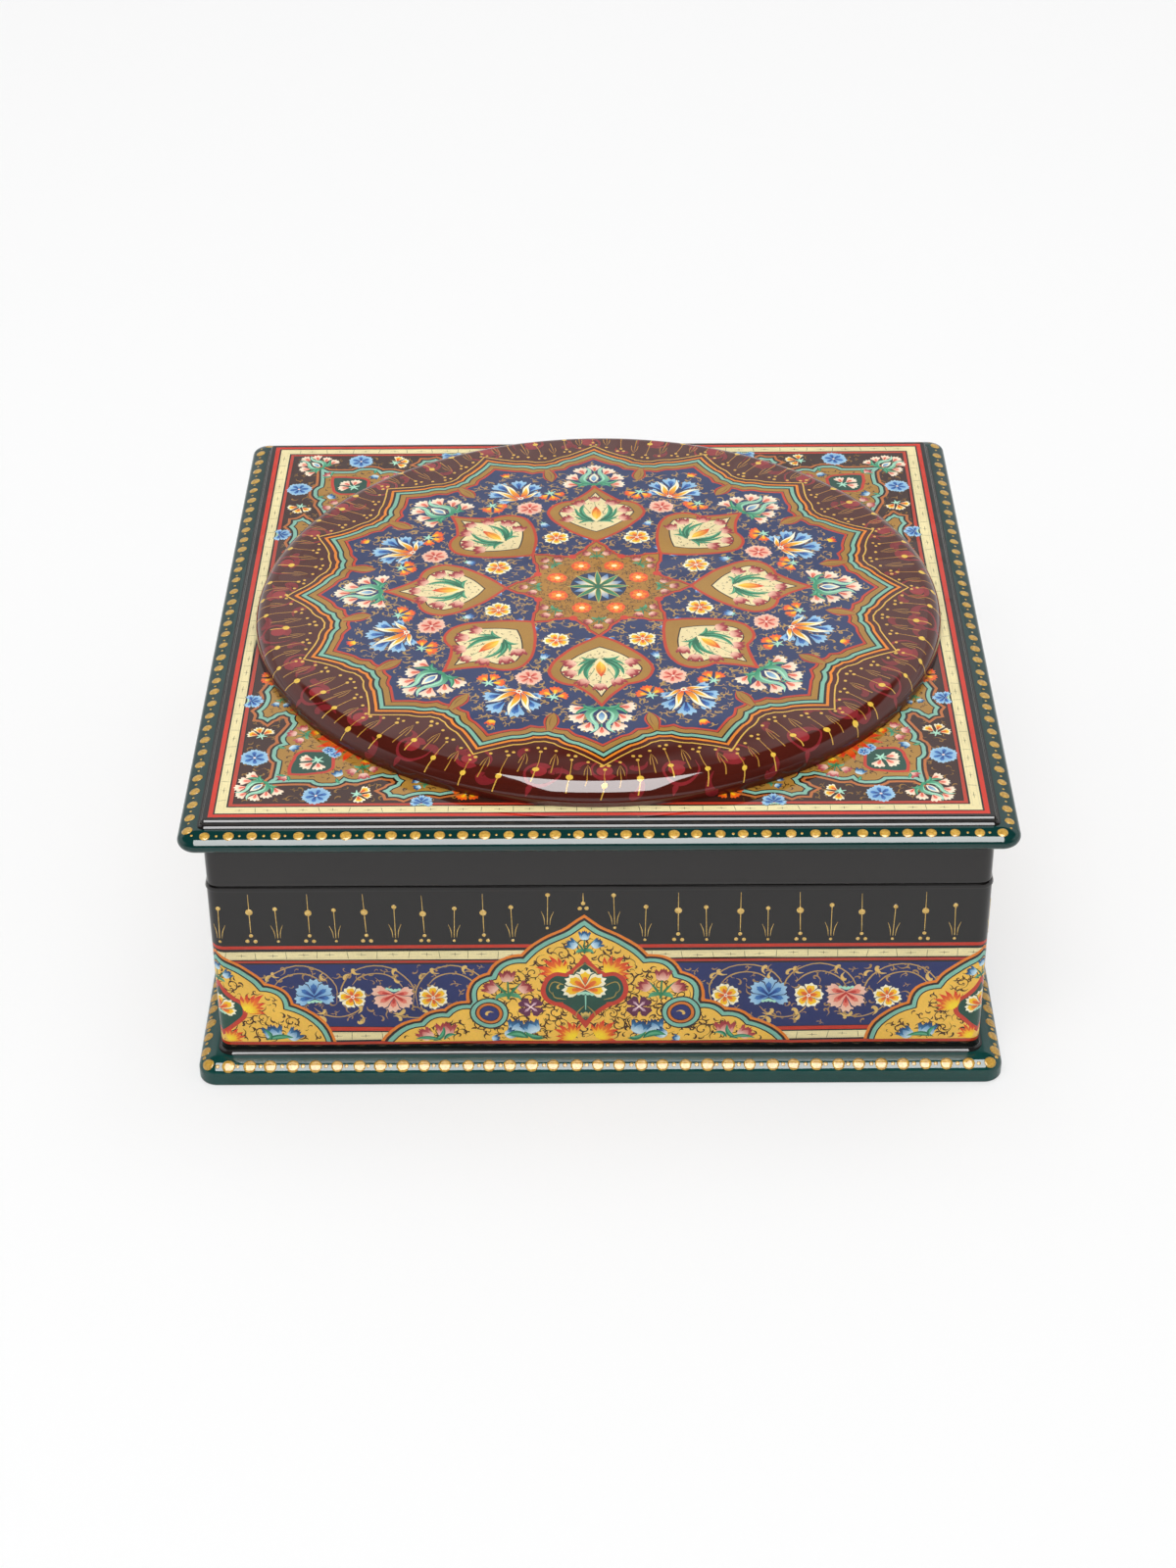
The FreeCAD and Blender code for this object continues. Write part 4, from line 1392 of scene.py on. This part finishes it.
def frieze_scrolls(start, end):
    """Gold circles of thin stem behind the flowers, with buds where they cross."""
    marks = []
    for i, x in enumerate(np.arange(start, end, 9.6)):
        centre, side = complex(x + nudge(0.6), 24.2), 1 if i % 2 else -1
        for r, low, high in ((9.3, -20, 200), (6.9, 10, 150)):
            a = np.radians(np.linspace(low, high, 7) * side)
            marks.append((brush(list(centre + r * np.exp(1j * a) * (1 + 0.03j)),
                                [0.06, 0.3, 0.34, 0.3, 0.38, 0.1], 3), flat("#c09a56")))
        for angle in (60, 118, 230, 300):
            spot = centre + 7.6 * np.exp(1j * math.radians(angle + nudge(10)))
            marks += moved(comma("#dcb868", 0.36), spot, angle + 40 * side, 2.5 + nudge(0.4), side < 0)
    return marks


print("arch flowers:", len(arch_flowers()), "marks")

# %% The ground and the ruled bands
low, high = wall_foot, seam
ground = "#181615"
beyond = wall_half + 1  # bands are drawn a little over the end and cut off there


def bar(bottom, top, code):
    return (box_of(-beyond, bottom, beyond, top), flat(code))


wall = [(box_of(-wall_half, low, wall_half, high), flat(ground))]
wall += [bar(38.9, 39.85, frame_red), bar(34.55, 35.25, "#b03422"), bar(14.4, 34.1, "#1e2a60"),
         bar(13.05, 14.2, frame_red)]
wall += ruled_band(35.65, 38.05, -beyond, beyond) + ruled_band(10.25, 12.6, -beyond, beyond)
print("ground and bands:", len(wall), "marks")

# %% The frieze
frieze = box_of(-90, 14.8, 90, 33.8)
for start, end in ((-84, -30), (26, 84)):
    wall += [mark for mark in frieze_scrolls(start, end) if within(frieze, mark[0]).all()]
wall += fill_with_curls(frieze, "#a88450", 2.4, 1.7, tries=1100)
for x, y, motif in ((-70.4, 24.0, side_flower(blue_petal, 5.2)), (-61.2, 23.6, yellow_flower(3.8, 5, 12)),
                    (-41.0, 23.7, yellow_flower(3.8, 6, 5)), (31.1, 23.8, yellow_flower(3.7, 5, 20)),
                    (41.6, 23.8, side_flower(blue_petal, 5.3)), (51.4, 23.6, yellow_flower(3.9, 5, -10)),
                    (70.9, 23.7, yellow_flower(3.7, 6, 14))):
    wall += moved(motif, complex(x, y))
for x in (-51.0, 60.8):
    wall += moved(side_flower(pink_petal, 5.6), x + 24.5j, 180)
print("with the frieze:", len(wall), "marks")

# %% The arches, half a one at each end and one in the middle
inside, brown_line = parallel(corner_outline(), -1.2), "#402410"
for edge in (-wall_half, wall_half):
    wall += moved(nested(corner_outline(), arch_bands), edge)
    wall += moved(fill_with_curls(inside, brown_line, 3.4, 2.0, (spiral,), 300), edge)
    wall += moved(fill_with_curls(inside, brown_line, 1.9, 1.5, (comma, curl, double_comma), 900), edge)
    wall += moved(corner_flowers(), edge)
middle = nested(arch_outline(), arch_bands)
inside = parallel(arch_outline(), -1.3)
middle += fill_with_curls(inside, brown_line, 3.5, 2.2, (spiral,), 900)
middle += fill_with_curls(inside, brown_line, 1.9, 1.6, (comma, curl, double_comma), 3600)
for side in (-1, 1):
    middle += moved(volute(), side * 23.6 + 18.5j, 0, 1, side < 0)
wall += moved(middle + arch_flowers() + green_box(), arch_middle)
wall += [bar(low - 1, 9.75, ink), bar(8.85, 9.65, "#b8361f"), bar(low - 1, 8.8, ground)]
print("wall:", len(wall), "marks")

# %% Cut the wall and wrap it four times
turns = [complex(s * (wall_axis + t), y) for s in (-1, 1) for t in (0, 0.6, 1.2, 1.8) for y in (low, high)]
lines = [np.array(turns[i:i + 2]) for i in range(0, len(turns), 2)]
lines += [np.array([complex(-wall_half, seam - b), complex(wall_half, seam - b)])
          for b in (0.2, 0.42, 0.65, 0.88, 1.1, 1.3)]
points, corners, colours = cut_sheet(wall, lines)
behind = "#191716"  # the plain black of the edges and the back
shrink = wall_in / (wall_axis + wall_round / math.sqrt(2))
for number, (name, angle) in enumerate(places.items()):
    calm = np.clip((wall_half - abs(points.real)) / 4, 0, 1) * np.clip((high - 2 - points.imag) / 3, 0, 1)
    calm *= np.clip((points.imag - low - 1) / 2, 0, 1)
    place, facing = on_wall(points + waver(points, 50 + number, 0.2) * calm)
    rim = place[open_edges(corners)]
    back = rim * (shrink, 0, 1) - (0, wall_in, 0)
    # 1 along the top edge, -1 along the bottom edge and 0 up the two mitres
    level = rim[..., 2].mean(1, keepdims=True)
    flank = 1 * (abs(level - high) < 0.01) - (abs(level - low) < 0.01)
    across = np.sign(rim[:, 0, :1]) * (flank == 0)
    out = np.concatenate([across, (flank == 0) - 0.33 * (flank == 1), flank], 1)[:, None]
    edge = np.concatenate([np.stack([rim[:, 0], rim[:, 1], back[:, 1]], 1),
                           np.stack([rim[:, 0], back[:, 1], back[:, 0]], 1)])
    edge = (edge, np.broadcast_to(np.concatenate([out, out]), edge.shape), one_paint(behind, edge))
    inner = cap(back, (0, -wall_in, (low + high) / 2), (0, 1, 0), behind)
    make_piece(f"painted_wall_{name}", [(place[corners], facing[corners], colours), edge, inner],
               painted_skin, "base", [f"base_wall_{name}"], angle + 90)

# %% [markdown]
# ## Mouldings
# The nosing of the lid and the plinth are strips of paper pulp drawn along the edge with a
# shaped scraper, mitred at the corners and rounded there with the thumb. The same section is
# carried along one side and half-way round both corners, and then turned into its four
# places, so the four sides meet on the mitres without a step.

# %% A section and how it is carried round


def bend(centre, radius, start, end, n=9, hollow=False):
    """Part of a section: an arc, with normals that point out, or in for a hollow."""
    a = np.radians(np.linspace(start, end, n))
    return centre + radius * np.exp(1j * a), np.exp(1j * a) * (-1 if hollow else 1)


def straight(a, b):
    way = -1j * (b - a) / abs(b - a)
    return np.array([a, b]), np.array([way, way])


def two_arcs(outer, level, top_start, top_level, small):
    """The shoulder of a moulding: a small arc at the face that runs into a large flat one."""
    drop, reach = top_level - level, outer - small - top_start
    large = (reach**2 + drop**2 - small**2) / (2 * (drop - small))
    c0, c1 = complex(outer - small, level), complex(top_start, top_level - large)
    meet = math.degrees(np.angle(c0 - c1))
    return [bend(c0, small, 0, meet, 10), bend(c1, large, meet, 90, 8)]


def carried(spans, axis, colour):
    """Closed side along +X from the spans of its section, which run anticlockwise."""
    low = np.radians(np.linspace(-45, 0, 9))
    turn = np.concatenate([low, -low[::-1]])
    shift = np.concatenate([np.full(9, -axis), np.full(9, axis)])
    parts, loop = [], []
    for line, way in spans:
        d, z = line.real[None, :], np.repeat(line.imag[None, :], 18, 0)
        e = np.maximum(d - axis, 0)
        inner = np.minimum(d, axis) - axis
        bow = np.where(e > 0, turn[:, None], 0)
        x = axis + inner + e * np.cos(turn)[:, None]
        y = shift[:, None] + np.sign(shift)[:, None] * inner + e * np.sin(turn)[:, None]
        rise = np.repeat(way.imag[None, :], 18, 0)
        n = np.stack([way.real * np.cos(bow), way.real * np.sin(bow), rise], -1)
        parts.append(grid(np.stack([x, y, z], -1), n, colour))
        loop.append(np.stack([x, y, z], -1)[[0, -1], :-1])
    loop = np.concatenate(loop, 1)
    for end, sign in ((0, -1), (1, 1)):
        faces = tessellate_polygon([[Vector(p) for p in loop[end]]])
        tris = loop[end][np.array(faces)]
        normal = np.broadcast_to(np.array([-1, sign, 0]) / math.sqrt(2), tris.shape)
        parts.append((tris, normal, one_paint(colour, tris)))
    return parts


# the plinth's green is paler than the nosing's: its own green, lifted by a painted reflection of the white
# paper on its face
green, plinth_green_and_painted_sheen, black = "#0c3532", "#124440", "#232120"
nose_radius, nose_share = 1.8, 0.72
nose_level = skirt_top + nose_radius
nose_axis = panel_out + edge_radius
board_edge = reach_of("lid_board")
nosing = [straight(complex(board_edge, skirt_top), complex(lid_out - nose_radius, skirt_top)),
          bend(complex(lid_out - nose_radius, nose_level), nose_radius, -90, 0, 12)]
nosing += two_arcs(lid_out, nose_level, nose_axis, board_top, (board_top - nose_level) * nose_share)
nosing += [straight(complex(nose_axis, board_top), complex(board_edge, board_top)),
           straight(complex(board_edge, board_top), complex(board_edge, skirt_top))]
print("nosing section:", len(nosing), "spans")

# %% The plinth's section and its cove
heel, face_top, shoulder_share, cove_size = 0.9, 3.2, 0.8, 0.9
floor_edge = reach_of("base_floor")
foot_axis = wall_out + cove_size
plinth = [straight(complex(floor_edge, 0), complex(plinth_out - heel, 0)),
          bend(complex(plinth_out - heel, heel), heel, -90, 0, 8),
          straight(complex(plinth_out, heel), complex(plinth_out, face_top))]
plinth += two_arcs(plinth_out, face_top, foot_axis, wall_foot, (wall_foot - face_top) * shoulder_share)
plinth += [straight(complex(foot_axis, wall_foot), complex(floor_edge, wall_foot)),
           straight(complex(floor_edge, wall_foot), complex(floor_edge, 0))]
# the cove at the foot of the wall, which is painted black like the wall's foot
sag = cove_size * 0.2 * math.sqrt(2)
half_chord = cove_size / math.sqrt(2)
cove_radius = (half_chord**2 + sag**2) / (2 * sag)
cove_centre = complex(wall_out + cove_size / 2, wall_foot + cove_size / 2)
cove_centre += (cove_radius - sag) * (1 + 1j) / math.sqrt(2)
opening = math.degrees(math.asin(half_chord / cove_radius))
cove = [bend(cove_centre, cove_radius, 225 + opening, 225 - opening, 8, hollow=True)]
cove += [straight(complex(wall_out, wall_foot + cove_size), complex(wall_out, wall_foot)),
         straight(complex(wall_out, wall_foot), complex(foot_axis, wall_foot))]
print("plinth section:", len(plinth), "spans, its cove:", len(cove))

# %% Eight mouldings
for place, angle in places.items():
    make_piece(f"nosed_moulding_{place}", carried(nosing, nose_axis, green), painted_skin, "lid",
               [f"lid_moulding_{place}"], angle)
    sides = carried(plinth, foot_axis, plinth_green_and_painted_sheen) + carried(cove, wall_axis, black)
    make_piece(f"plinth_moulding_{place}", sides, painted_skin, "base", [f"plinth_{place}"],
               angle)
print("mouldings made:", 2 * len(places))

# %% [markdown]
# ## Gold dots and finials
# The nosing and the plinth carry a row of gold dots, a large and a small one in turn, dabbed
# with the round end of a stick. The black of the walls carries a row of thin gold finials, of
# two kinds in turn. Both rows follow a path and come back hundreds of times, so one tree of
# Geometry Nodes lays them: it walks along a path, puts two shapes down in turn, and lets the
# size, the place and the lean differ a little each time, as a hand does.

# %% Gold paint


def gold_leaf_paint(name, dark, light):
    """Powdered gold in gum, thicker and darker in spots about 0.5 mm wide."""
    material = bpy.data.materials.new(name)
    tree = bare_tree(material)
    where = add(tree, "ShaderNodeTexCoord").outputs["Object"]
    spots = add(tree, "ShaderNodeTexNoise", {"Vector": where, "Scale": 1500, "Detail": 2.0})
    tone = add(tree, "ShaderNodeMapRange", {"Value": spots.outputs[0], 1: 0.3, 2: 0.7})
    mixed = add(tree, "ShaderNodeMix",
                {0: tone.outputs[0], "A": (*linear(dark), 1), "B": (*linear(light), 1)},
                data_type="RGBA")
    # under the varnish like everything else, so one sharp reflection lies over the dull metal
    shader = add(tree, "ShaderNodeBsdfPrincipled", {
        "Base Color": mixed.outputs[2], "Roughness": 0.5, "Metallic": 0.1, "Specular IOR Level": 0.1,
        "Coat Weight": 0.9, "Coat Roughness": 0.05})
    add(tree, "ShaderNodeOutputMaterial", {"Surface": shader.outputs[0]})
    return material


gold_paint = gold_leaf_paint("shell gold dabbed on with a stick", "#a87c28", "#d2a84a")
# the paler gold is the finials' own colour, and on the plinth dots it is also a painted highlight
fine_gold_and_painted_highlight = gold_leaf_paint("shell gold laid with a fine brush", "#c89c48", "#e8c878")
print("gold paints:", gold_paint.name, "and", fine_gold_and_painted_highlight.name)

# %% Dabs, strokes and the shapes to lay


def dab(radius, height=0.07, n=12):
    """A dot of thick paint: a low dome with its foot just under the ground."""
    rings = [radius * s * np.exp(2j * np.pi * np.arange(n) / n) for s in (1, 0.97, 0.72, 0.36)]
    levels = (-0.08, 0.3 * height, 0.85 * height, height)
    spots = [(p.real, p.imag, z) for ring, z in zip(rings, levels) for p in ring] + [(0, 0, height * 1.03)]
    pairs = [(i, (i + 1) % n) for i in range(n)]
    faces = [(r * n + i, r * n + j, r * n + n + j, r * n + n + i) for r in range(3) for i, j in pairs]
    return spots, faces + [(3 * n + i, 3 * n + j, 4 * n) for i, j in pairs] + [tuple(range(n))[::-1]]


def stroke(points, widths, height=0.05, steps=4):
    """A thin line of paint with a raised back."""
    line, n = smooth(points, steps), 0
    out = 1j * np.gradient(line) / abs(np.gradient(line))
    w = np.interp(np.linspace(0, 1, len(line)), np.linspace(0, 1, len(widths)), widths)[:, None] / 2
    across = np.array([-1, -1, 0, 1, 1])
    at = line[:, None] + out[:, None] * w * across
    up = np.array([-0.05, 0.5 * height, height, 0.5 * height, -0.05])
    spots = [(p.real, p.imag, z) for row in at for p, z in zip(row, up)]
    last = 5 * (len(line) - 1)
    pairs = [(k, (k + 1) % 5) for k in range(5)]
    faces = [(r + j, r + i, r + 5 + i, r + 5 + j) for r in range(0, last, 5) for i, j in pairs]
    return spots, faces + [(0, 1, 2, 3, 4), (last + 4, last + 3, last + 2, last + 1, last)]


def shape(name, parts):
    """An object from (points, faces) parts, each moved by a complex place."""
    spots, faces = [], []
    for (some, corners), at in parts:
        faces += [tuple(len(spots) + c for c in face) for face in corners]
        spots += [(x + at.real, y + at.imag, z) for x, y, z in some]
    mesh = bpy.data.meshes.new(name)
    mesh.from_pydata([Vector(p) * MM for p in spots], [], faces)
    mesh.shade_smooth()
    return stand(name, mesh)


small_dab, peak_dab, blade_widths = dab(0.52, 0.07, 9), dab(0.56, 0.07, 9), [0.08, 0.2, 0.07]
long_finial = shape("long_finial", [
    (stroke([2.6j, 8.2j, 14.4j], [0.16, 0.24, 0.18, 0.1]), 0), (dab(0.9, 0.1), 8.6j),
    (small_dab, 1.7j), (small_dab, -0.95 + 0.1j), (small_dab, 0.95 + 0j)])
leaf_finial = shape("leaf_finial", [
    (stroke([1.0j, 5.4j, 9.6j], [0.2, 0.16, 0.2]), 0), (dab(0.6, 0.08, 10), 9.8j), (dab(0.4, 0.06, 8), 0),
    (stroke([-0.6 + 1.0j, -0.8 + 3.0j, -1.45 + 4.9j], blade_widths), 0),
    (stroke([0.6 + 1.0j, 0.8 + 3.0j, 1.45 + 4.9j], blade_widths), 0)])
peak_finial = shape("peak_finial", [
    (stroke([1.6j, 3.0j, 4.5j], [0.2, 0.24, 0.12]), 5.7j),
    (peak_dab, 7.2j), (peak_dab, -0.8 + 5.7j), (peak_dab, 0.8 + 5.75j)])
dots = {name: shape(name, [(dab(radius), 0)]) for name, radius in
        (("nosing_dot", 1.34), ("nosing_speck", 0.34), ("plinth_dot", 1.66), ("plinth_speck", 0.54))}
print("a long finial has", len(long_finial.data.polygons), "faces, a dot",
      len(dots["nosing_dot"].data.polygons))

# %% A tree that lays two shapes in turn along a path
laying = bpy.data.node_groups.new("lay_in_turn_along_a_path", "GeometryNodeTree")
for name, kind in (("Path", "Geometry"), ("Count", "Int"), ("Even shape", "Object"), ("Odd shape", "Object"),
                   ("Slide", "Float"), ("Lean", "Float"), ("Size spread", "Float"), ("Seed", "Int"),
                   ("Material", "Material")):
    laying.interface.new_socket(name, in_out="INPUT", socket_type="NodeSocket" + kind)
laying.interface.new_socket("Row", in_out="OUTPUT", socket_type="NodeSocketGeometry")
given = laying.nodes.new("NodeGroupInput").outputs


def chance(seed):
    """A random number from -1 to 1 for each spot."""
    node = add(laying, "FunctionNodeRandomValue", {"Min": -1.0, "Max": 1.0, "Seed": seed}, data_type="FLOAT")
    return node.outputs[1]


def sum_of(kind, *values):
    """The result of a sum with the values."""
    return add(laying, "ShaderNodeMath", dict(enumerate(values)), operation=kind).outputs[0]


curve = add(laying, "GeometryNodeMeshToCurve", {"Mesh": given["Path"]})
steps = add(laying, "GeometryNodeResampleCurve", {"Curve": curve.outputs[0], "Count": given["Count"]},
            mode="COUNT")
along = add(laying, "GeometryNodeInputTangent")
slide = sum_of("MULTIPLY", chance(given["Seed"]), given["Slide"])
shift = add(laying, "ShaderNodeVectorMath", {0: along.outputs[0], "Scale": slide}, operation="SCALE")
spread = add(laying, "GeometryNodeSetPosition", {"Geometry": steps.outputs[0], "Offset": shift.outputs[0]})
facing = add(laying, "GeometryNodeInputNamedAttribute", {"Name": "facing"}, data_type="FLOAT_VECTOR")
upright = add(laying, "FunctionNodeAlignRotationToVector", {"Vector": facing.outputs[0]}, axis="Z")
lean = sum_of("MULTIPLY", chance(sum_of("ADD", given["Seed"], 1.0)), given["Lean"])
spin = add(laying, "FunctionNodeAxisAngleToRotation", {"Axis": (0, 0, 1), "Angle": lean})
turned = add(laying, "FunctionNodeRotateRotation", {0: upright.outputs[0], 1: spin.outputs[0]},
             rotation_space="LOCAL")
size = sum_of("MULTIPLY_ADD", chance(sum_of("ADD", given["Seed"], 2.0)), given["Size spread"], 1.0)
number = add(laying, "GeometryNodeInputIndex")
odd = sum_of("MODULO", number.outputs[0], 2.0)
even = sum_of("SUBTRACT", 1.0, odd)
joined = add(laying, "GeometryNodeJoinGeometry")
for selection, name in ((even, "Even shape"), (odd, "Odd shape")):
    source = add(laying, "GeometryNodeObjectInfo", {"Object": given[name]})
    laid = add(laying, "GeometryNodeInstanceOnPoints", {
        "Points": spread.outputs[0], "Selection": selection, "Instance": source.outputs["Geometry"],
        "Rotation": turned.outputs[0], "Scale": size})
    laying.links.new(laid.outputs[0], joined.inputs[0])
real = add(laying, "GeometryNodeRealizeInstances", {"Geometry": joined.outputs[0]})
painted = add(laying, "GeometryNodeSetMaterial",
              {"Geometry": real.outputs[0], "Material": given["Material"]})
add(laying, "NodeGroupOutput", {0: painted.outputs[0]})
print("the tree has", len(laying.nodes), "nodes")

# %% Lay the dots and the finials


def lay(name, path, facing, closed, **values):
    """The row as a plain mesh object in place."""
    count = len(path)
    edges = [(i, (i + 1) % count) for i in range(count if closed else count - 1)]
    mesh = bpy.data.meshes.new(name)
    mesh.from_pydata([Vector(p) * MM for p in path], edges, [])
    directions = mesh.attributes.new("facing", "FLOAT_VECTOR", "POINT")
    directions.data.foreach_set("vector", np.array(facing, float).ravel())
    row = stand(name, mesh)
    modifier = row.modifiers.new("row", "NODES")
    modifier.node_group = laying
    values["Material"] = gold_paint
    for item in laying.interface.items_tree:
        if item.name in values:
            modifier[item.identifier] = values[item.name]
    bpy.context.view_layer.update()
    made = bpy.data.meshes.new_from_object(row.evaluated_get(bpy.context.evaluated_depsgraph_get()))
    row.modifiers.remove(modifier)
    row.data = made
    return row


def round_square(half, rounding, n=6):
    """A square path with rounded corners, as points and outward directions."""
    turn = np.concatenate([np.linspace(0, 90, n) + 90 * k for k in range(4)])
    core = np.repeat([(1 + 1j) * 1j**k for k in range(4)], n) * (half - rounding)
    way = np.exp(1j * np.radians(turn))
    return core + rounding * way, way


def pressed_on(row, section, normals, axis, start):
    """Bends a row that was laid flat at the start, a distance along the section, to its curve."""
    walk = np.append(0, np.cumsum(abs(np.diff(section))))
    middle, facing = np.interp(start, walk, section), np.interp(start, walk, normals)
    spots = np.array([v.co for v in row.data.vertices]) / MM
    plan = spots[:, 0] + 1j * spots[:, 1]
    core = np.clip(plan.real, -axis, axis) + 1j * np.clip(plan.imag, -axis, axis)
    off = (axis + abs(plan - core) + 1j * spots[:, 2] - middle) * np.conj(facing / abs(facing))
    here = np.interp(start + off.imag, walk, normals)
    bent = np.interp(start + off.imag, walk, section) + off.real * here / abs(here)
    plan = core + (plan - core) / abs(plan - core) * (bent.real - axis)
    row.data.vertices.foreach_set("co", (np.stack([plan.real, plan.imag, bent.imag], 1) * MM).ravel())
    row.data.update()


for name, out, body, count, even_dot, odd_dot, seed in (
        ("nosing_dots", 97.5, "lid", 280, "nosing_dot", "nosing_speck", 11),
        ("plinth_dots", 98.95, "base", 290, "plinth_dot", "plinth_speck", 12)):
    spans, axis = (nosing, nose_axis) if body == "lid" else (plinth, foot_axis)
    section, normals = (np.concatenate([span[i] for span in spans]) for i in (0, 1))
    outside = (normals.real > -0.01) & (normals.imag > -0.01)
    section, normals = section[outside], normals[outside]
    start = np.interp(-out, -section.real, np.append(0, np.cumsum(abs(np.diff(section)))))
    level = np.interp(-out, -section.real, section.imag)
    slope = np.interp(-out, -section.real, np.angle(normals))
    path, way = round_square(out, out - axis)
    facing = [(w.real * math.cos(slope), w.imag * math.cos(slope), math.sin(slope)) for w in way]
    row = lay(name, [(p.real, p.imag, level) for p in path], facing, True, Count=count, Slide=0.32 * MM,
              Lean=3.0, Seed=seed,
              **{"Even shape": dots[even_dot], "Odd shape": dots[odd_dot], "Size spread": 0.07})
    pressed_on(row, section, normals, axis, start)
    # the plinth dots take the paler gold as a painted highlight, for the varnish highlight that runs along
    # the plinth's shoulder through them
    if body == "base":
        row.data.materials[0] = fine_gold_and_painted_highlight
    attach(row, body)
    print(name, "at level", round(float(level), 2), "with", len(row.data.polygons), "faces")

# %% Finials on the four walls
finial_rows = ((-92.1, -20.9, 41.2, 11, long_finial), (11.3, 86.4, 41.2, 11, long_finial),
               (-12.4, 4.0, 44.9, 3, peak_finial))
for number, (place, angle) in enumerate(places.items()):
    parts = []
    for start, end, level, count, odd in finial_rows:
        row = lay("finials", [(start, level, 0), (end, level, 0)], [(0, 0, 1)] * 2, False, Count=count,
                  Slide=0.5 * MM, Lean=0.04, Seed=20 + number,
                  **{"Even shape": leaf_finial, "Odd shape": odd, "Size spread": 0.05})
        spots = np.array([v.co for v in row.data.vertices]) / MM
        parts.append((spots, [tuple(p.vertices) for p in row.data.polygons]))
        bpy.data.objects.remove(row)
    spots = np.concatenate([p[0] for p in parts])
    starts = np.cumsum([0] + [len(p[0]) for p in parts])
    faces = [tuple(s + v for v in face) for (_, some), s in zip(parts, starts) for face in some]
    at, normal = on_wall(spots[:, 0] + 1j * np.minimum(spots[:, 1], 55.4))
    c, s = math.cos(math.radians(angle + 90)), math.sin(math.radians(angle + 90))
    at = (at + normal * spots[:, 2:]) @ np.array([[c, s, 0], [-s, c, 0], [0, 0, 1]])
    mesh = bpy.data.meshes.new("finials")
    mesh.from_pydata((at * MM).tolist(), [], faces)
    mesh.shade_smooth()
    mesh.materials.append(fine_gold_and_painted_highlight)
    row = stand(f"gold_finials_{place}", mesh)
    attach(row, "base")
for made in (long_finial, leaf_finial, peak_finial, *dots.values()):
    bpy.data.objects.remove(made)
print("finials laid on", len(places), "walls")

# %% [markdown]
# ## Boards left in the CAD's shape
# The skirt, the top board under the panel, the floor and the rim boards are plain boards, and
# the CAD solids already have their shape. They only need their finish: the outside is ground
# and varnished black, the inside is brushed with black lacquer that keeps the brush marks.

# %% Finish the plain boards
for name, node_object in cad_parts.items():
    skin = None
    if name.startswith("lid_skirt"):
        skin = black_skin
    elif name.startswith("rim_board") or name in ("base_floor", "lid_board"):
        skin = inside_skin
    if skin:
        node_object.data.materials.clear()
        node_object.data.materials.append(skin)
print("plain boards finished")
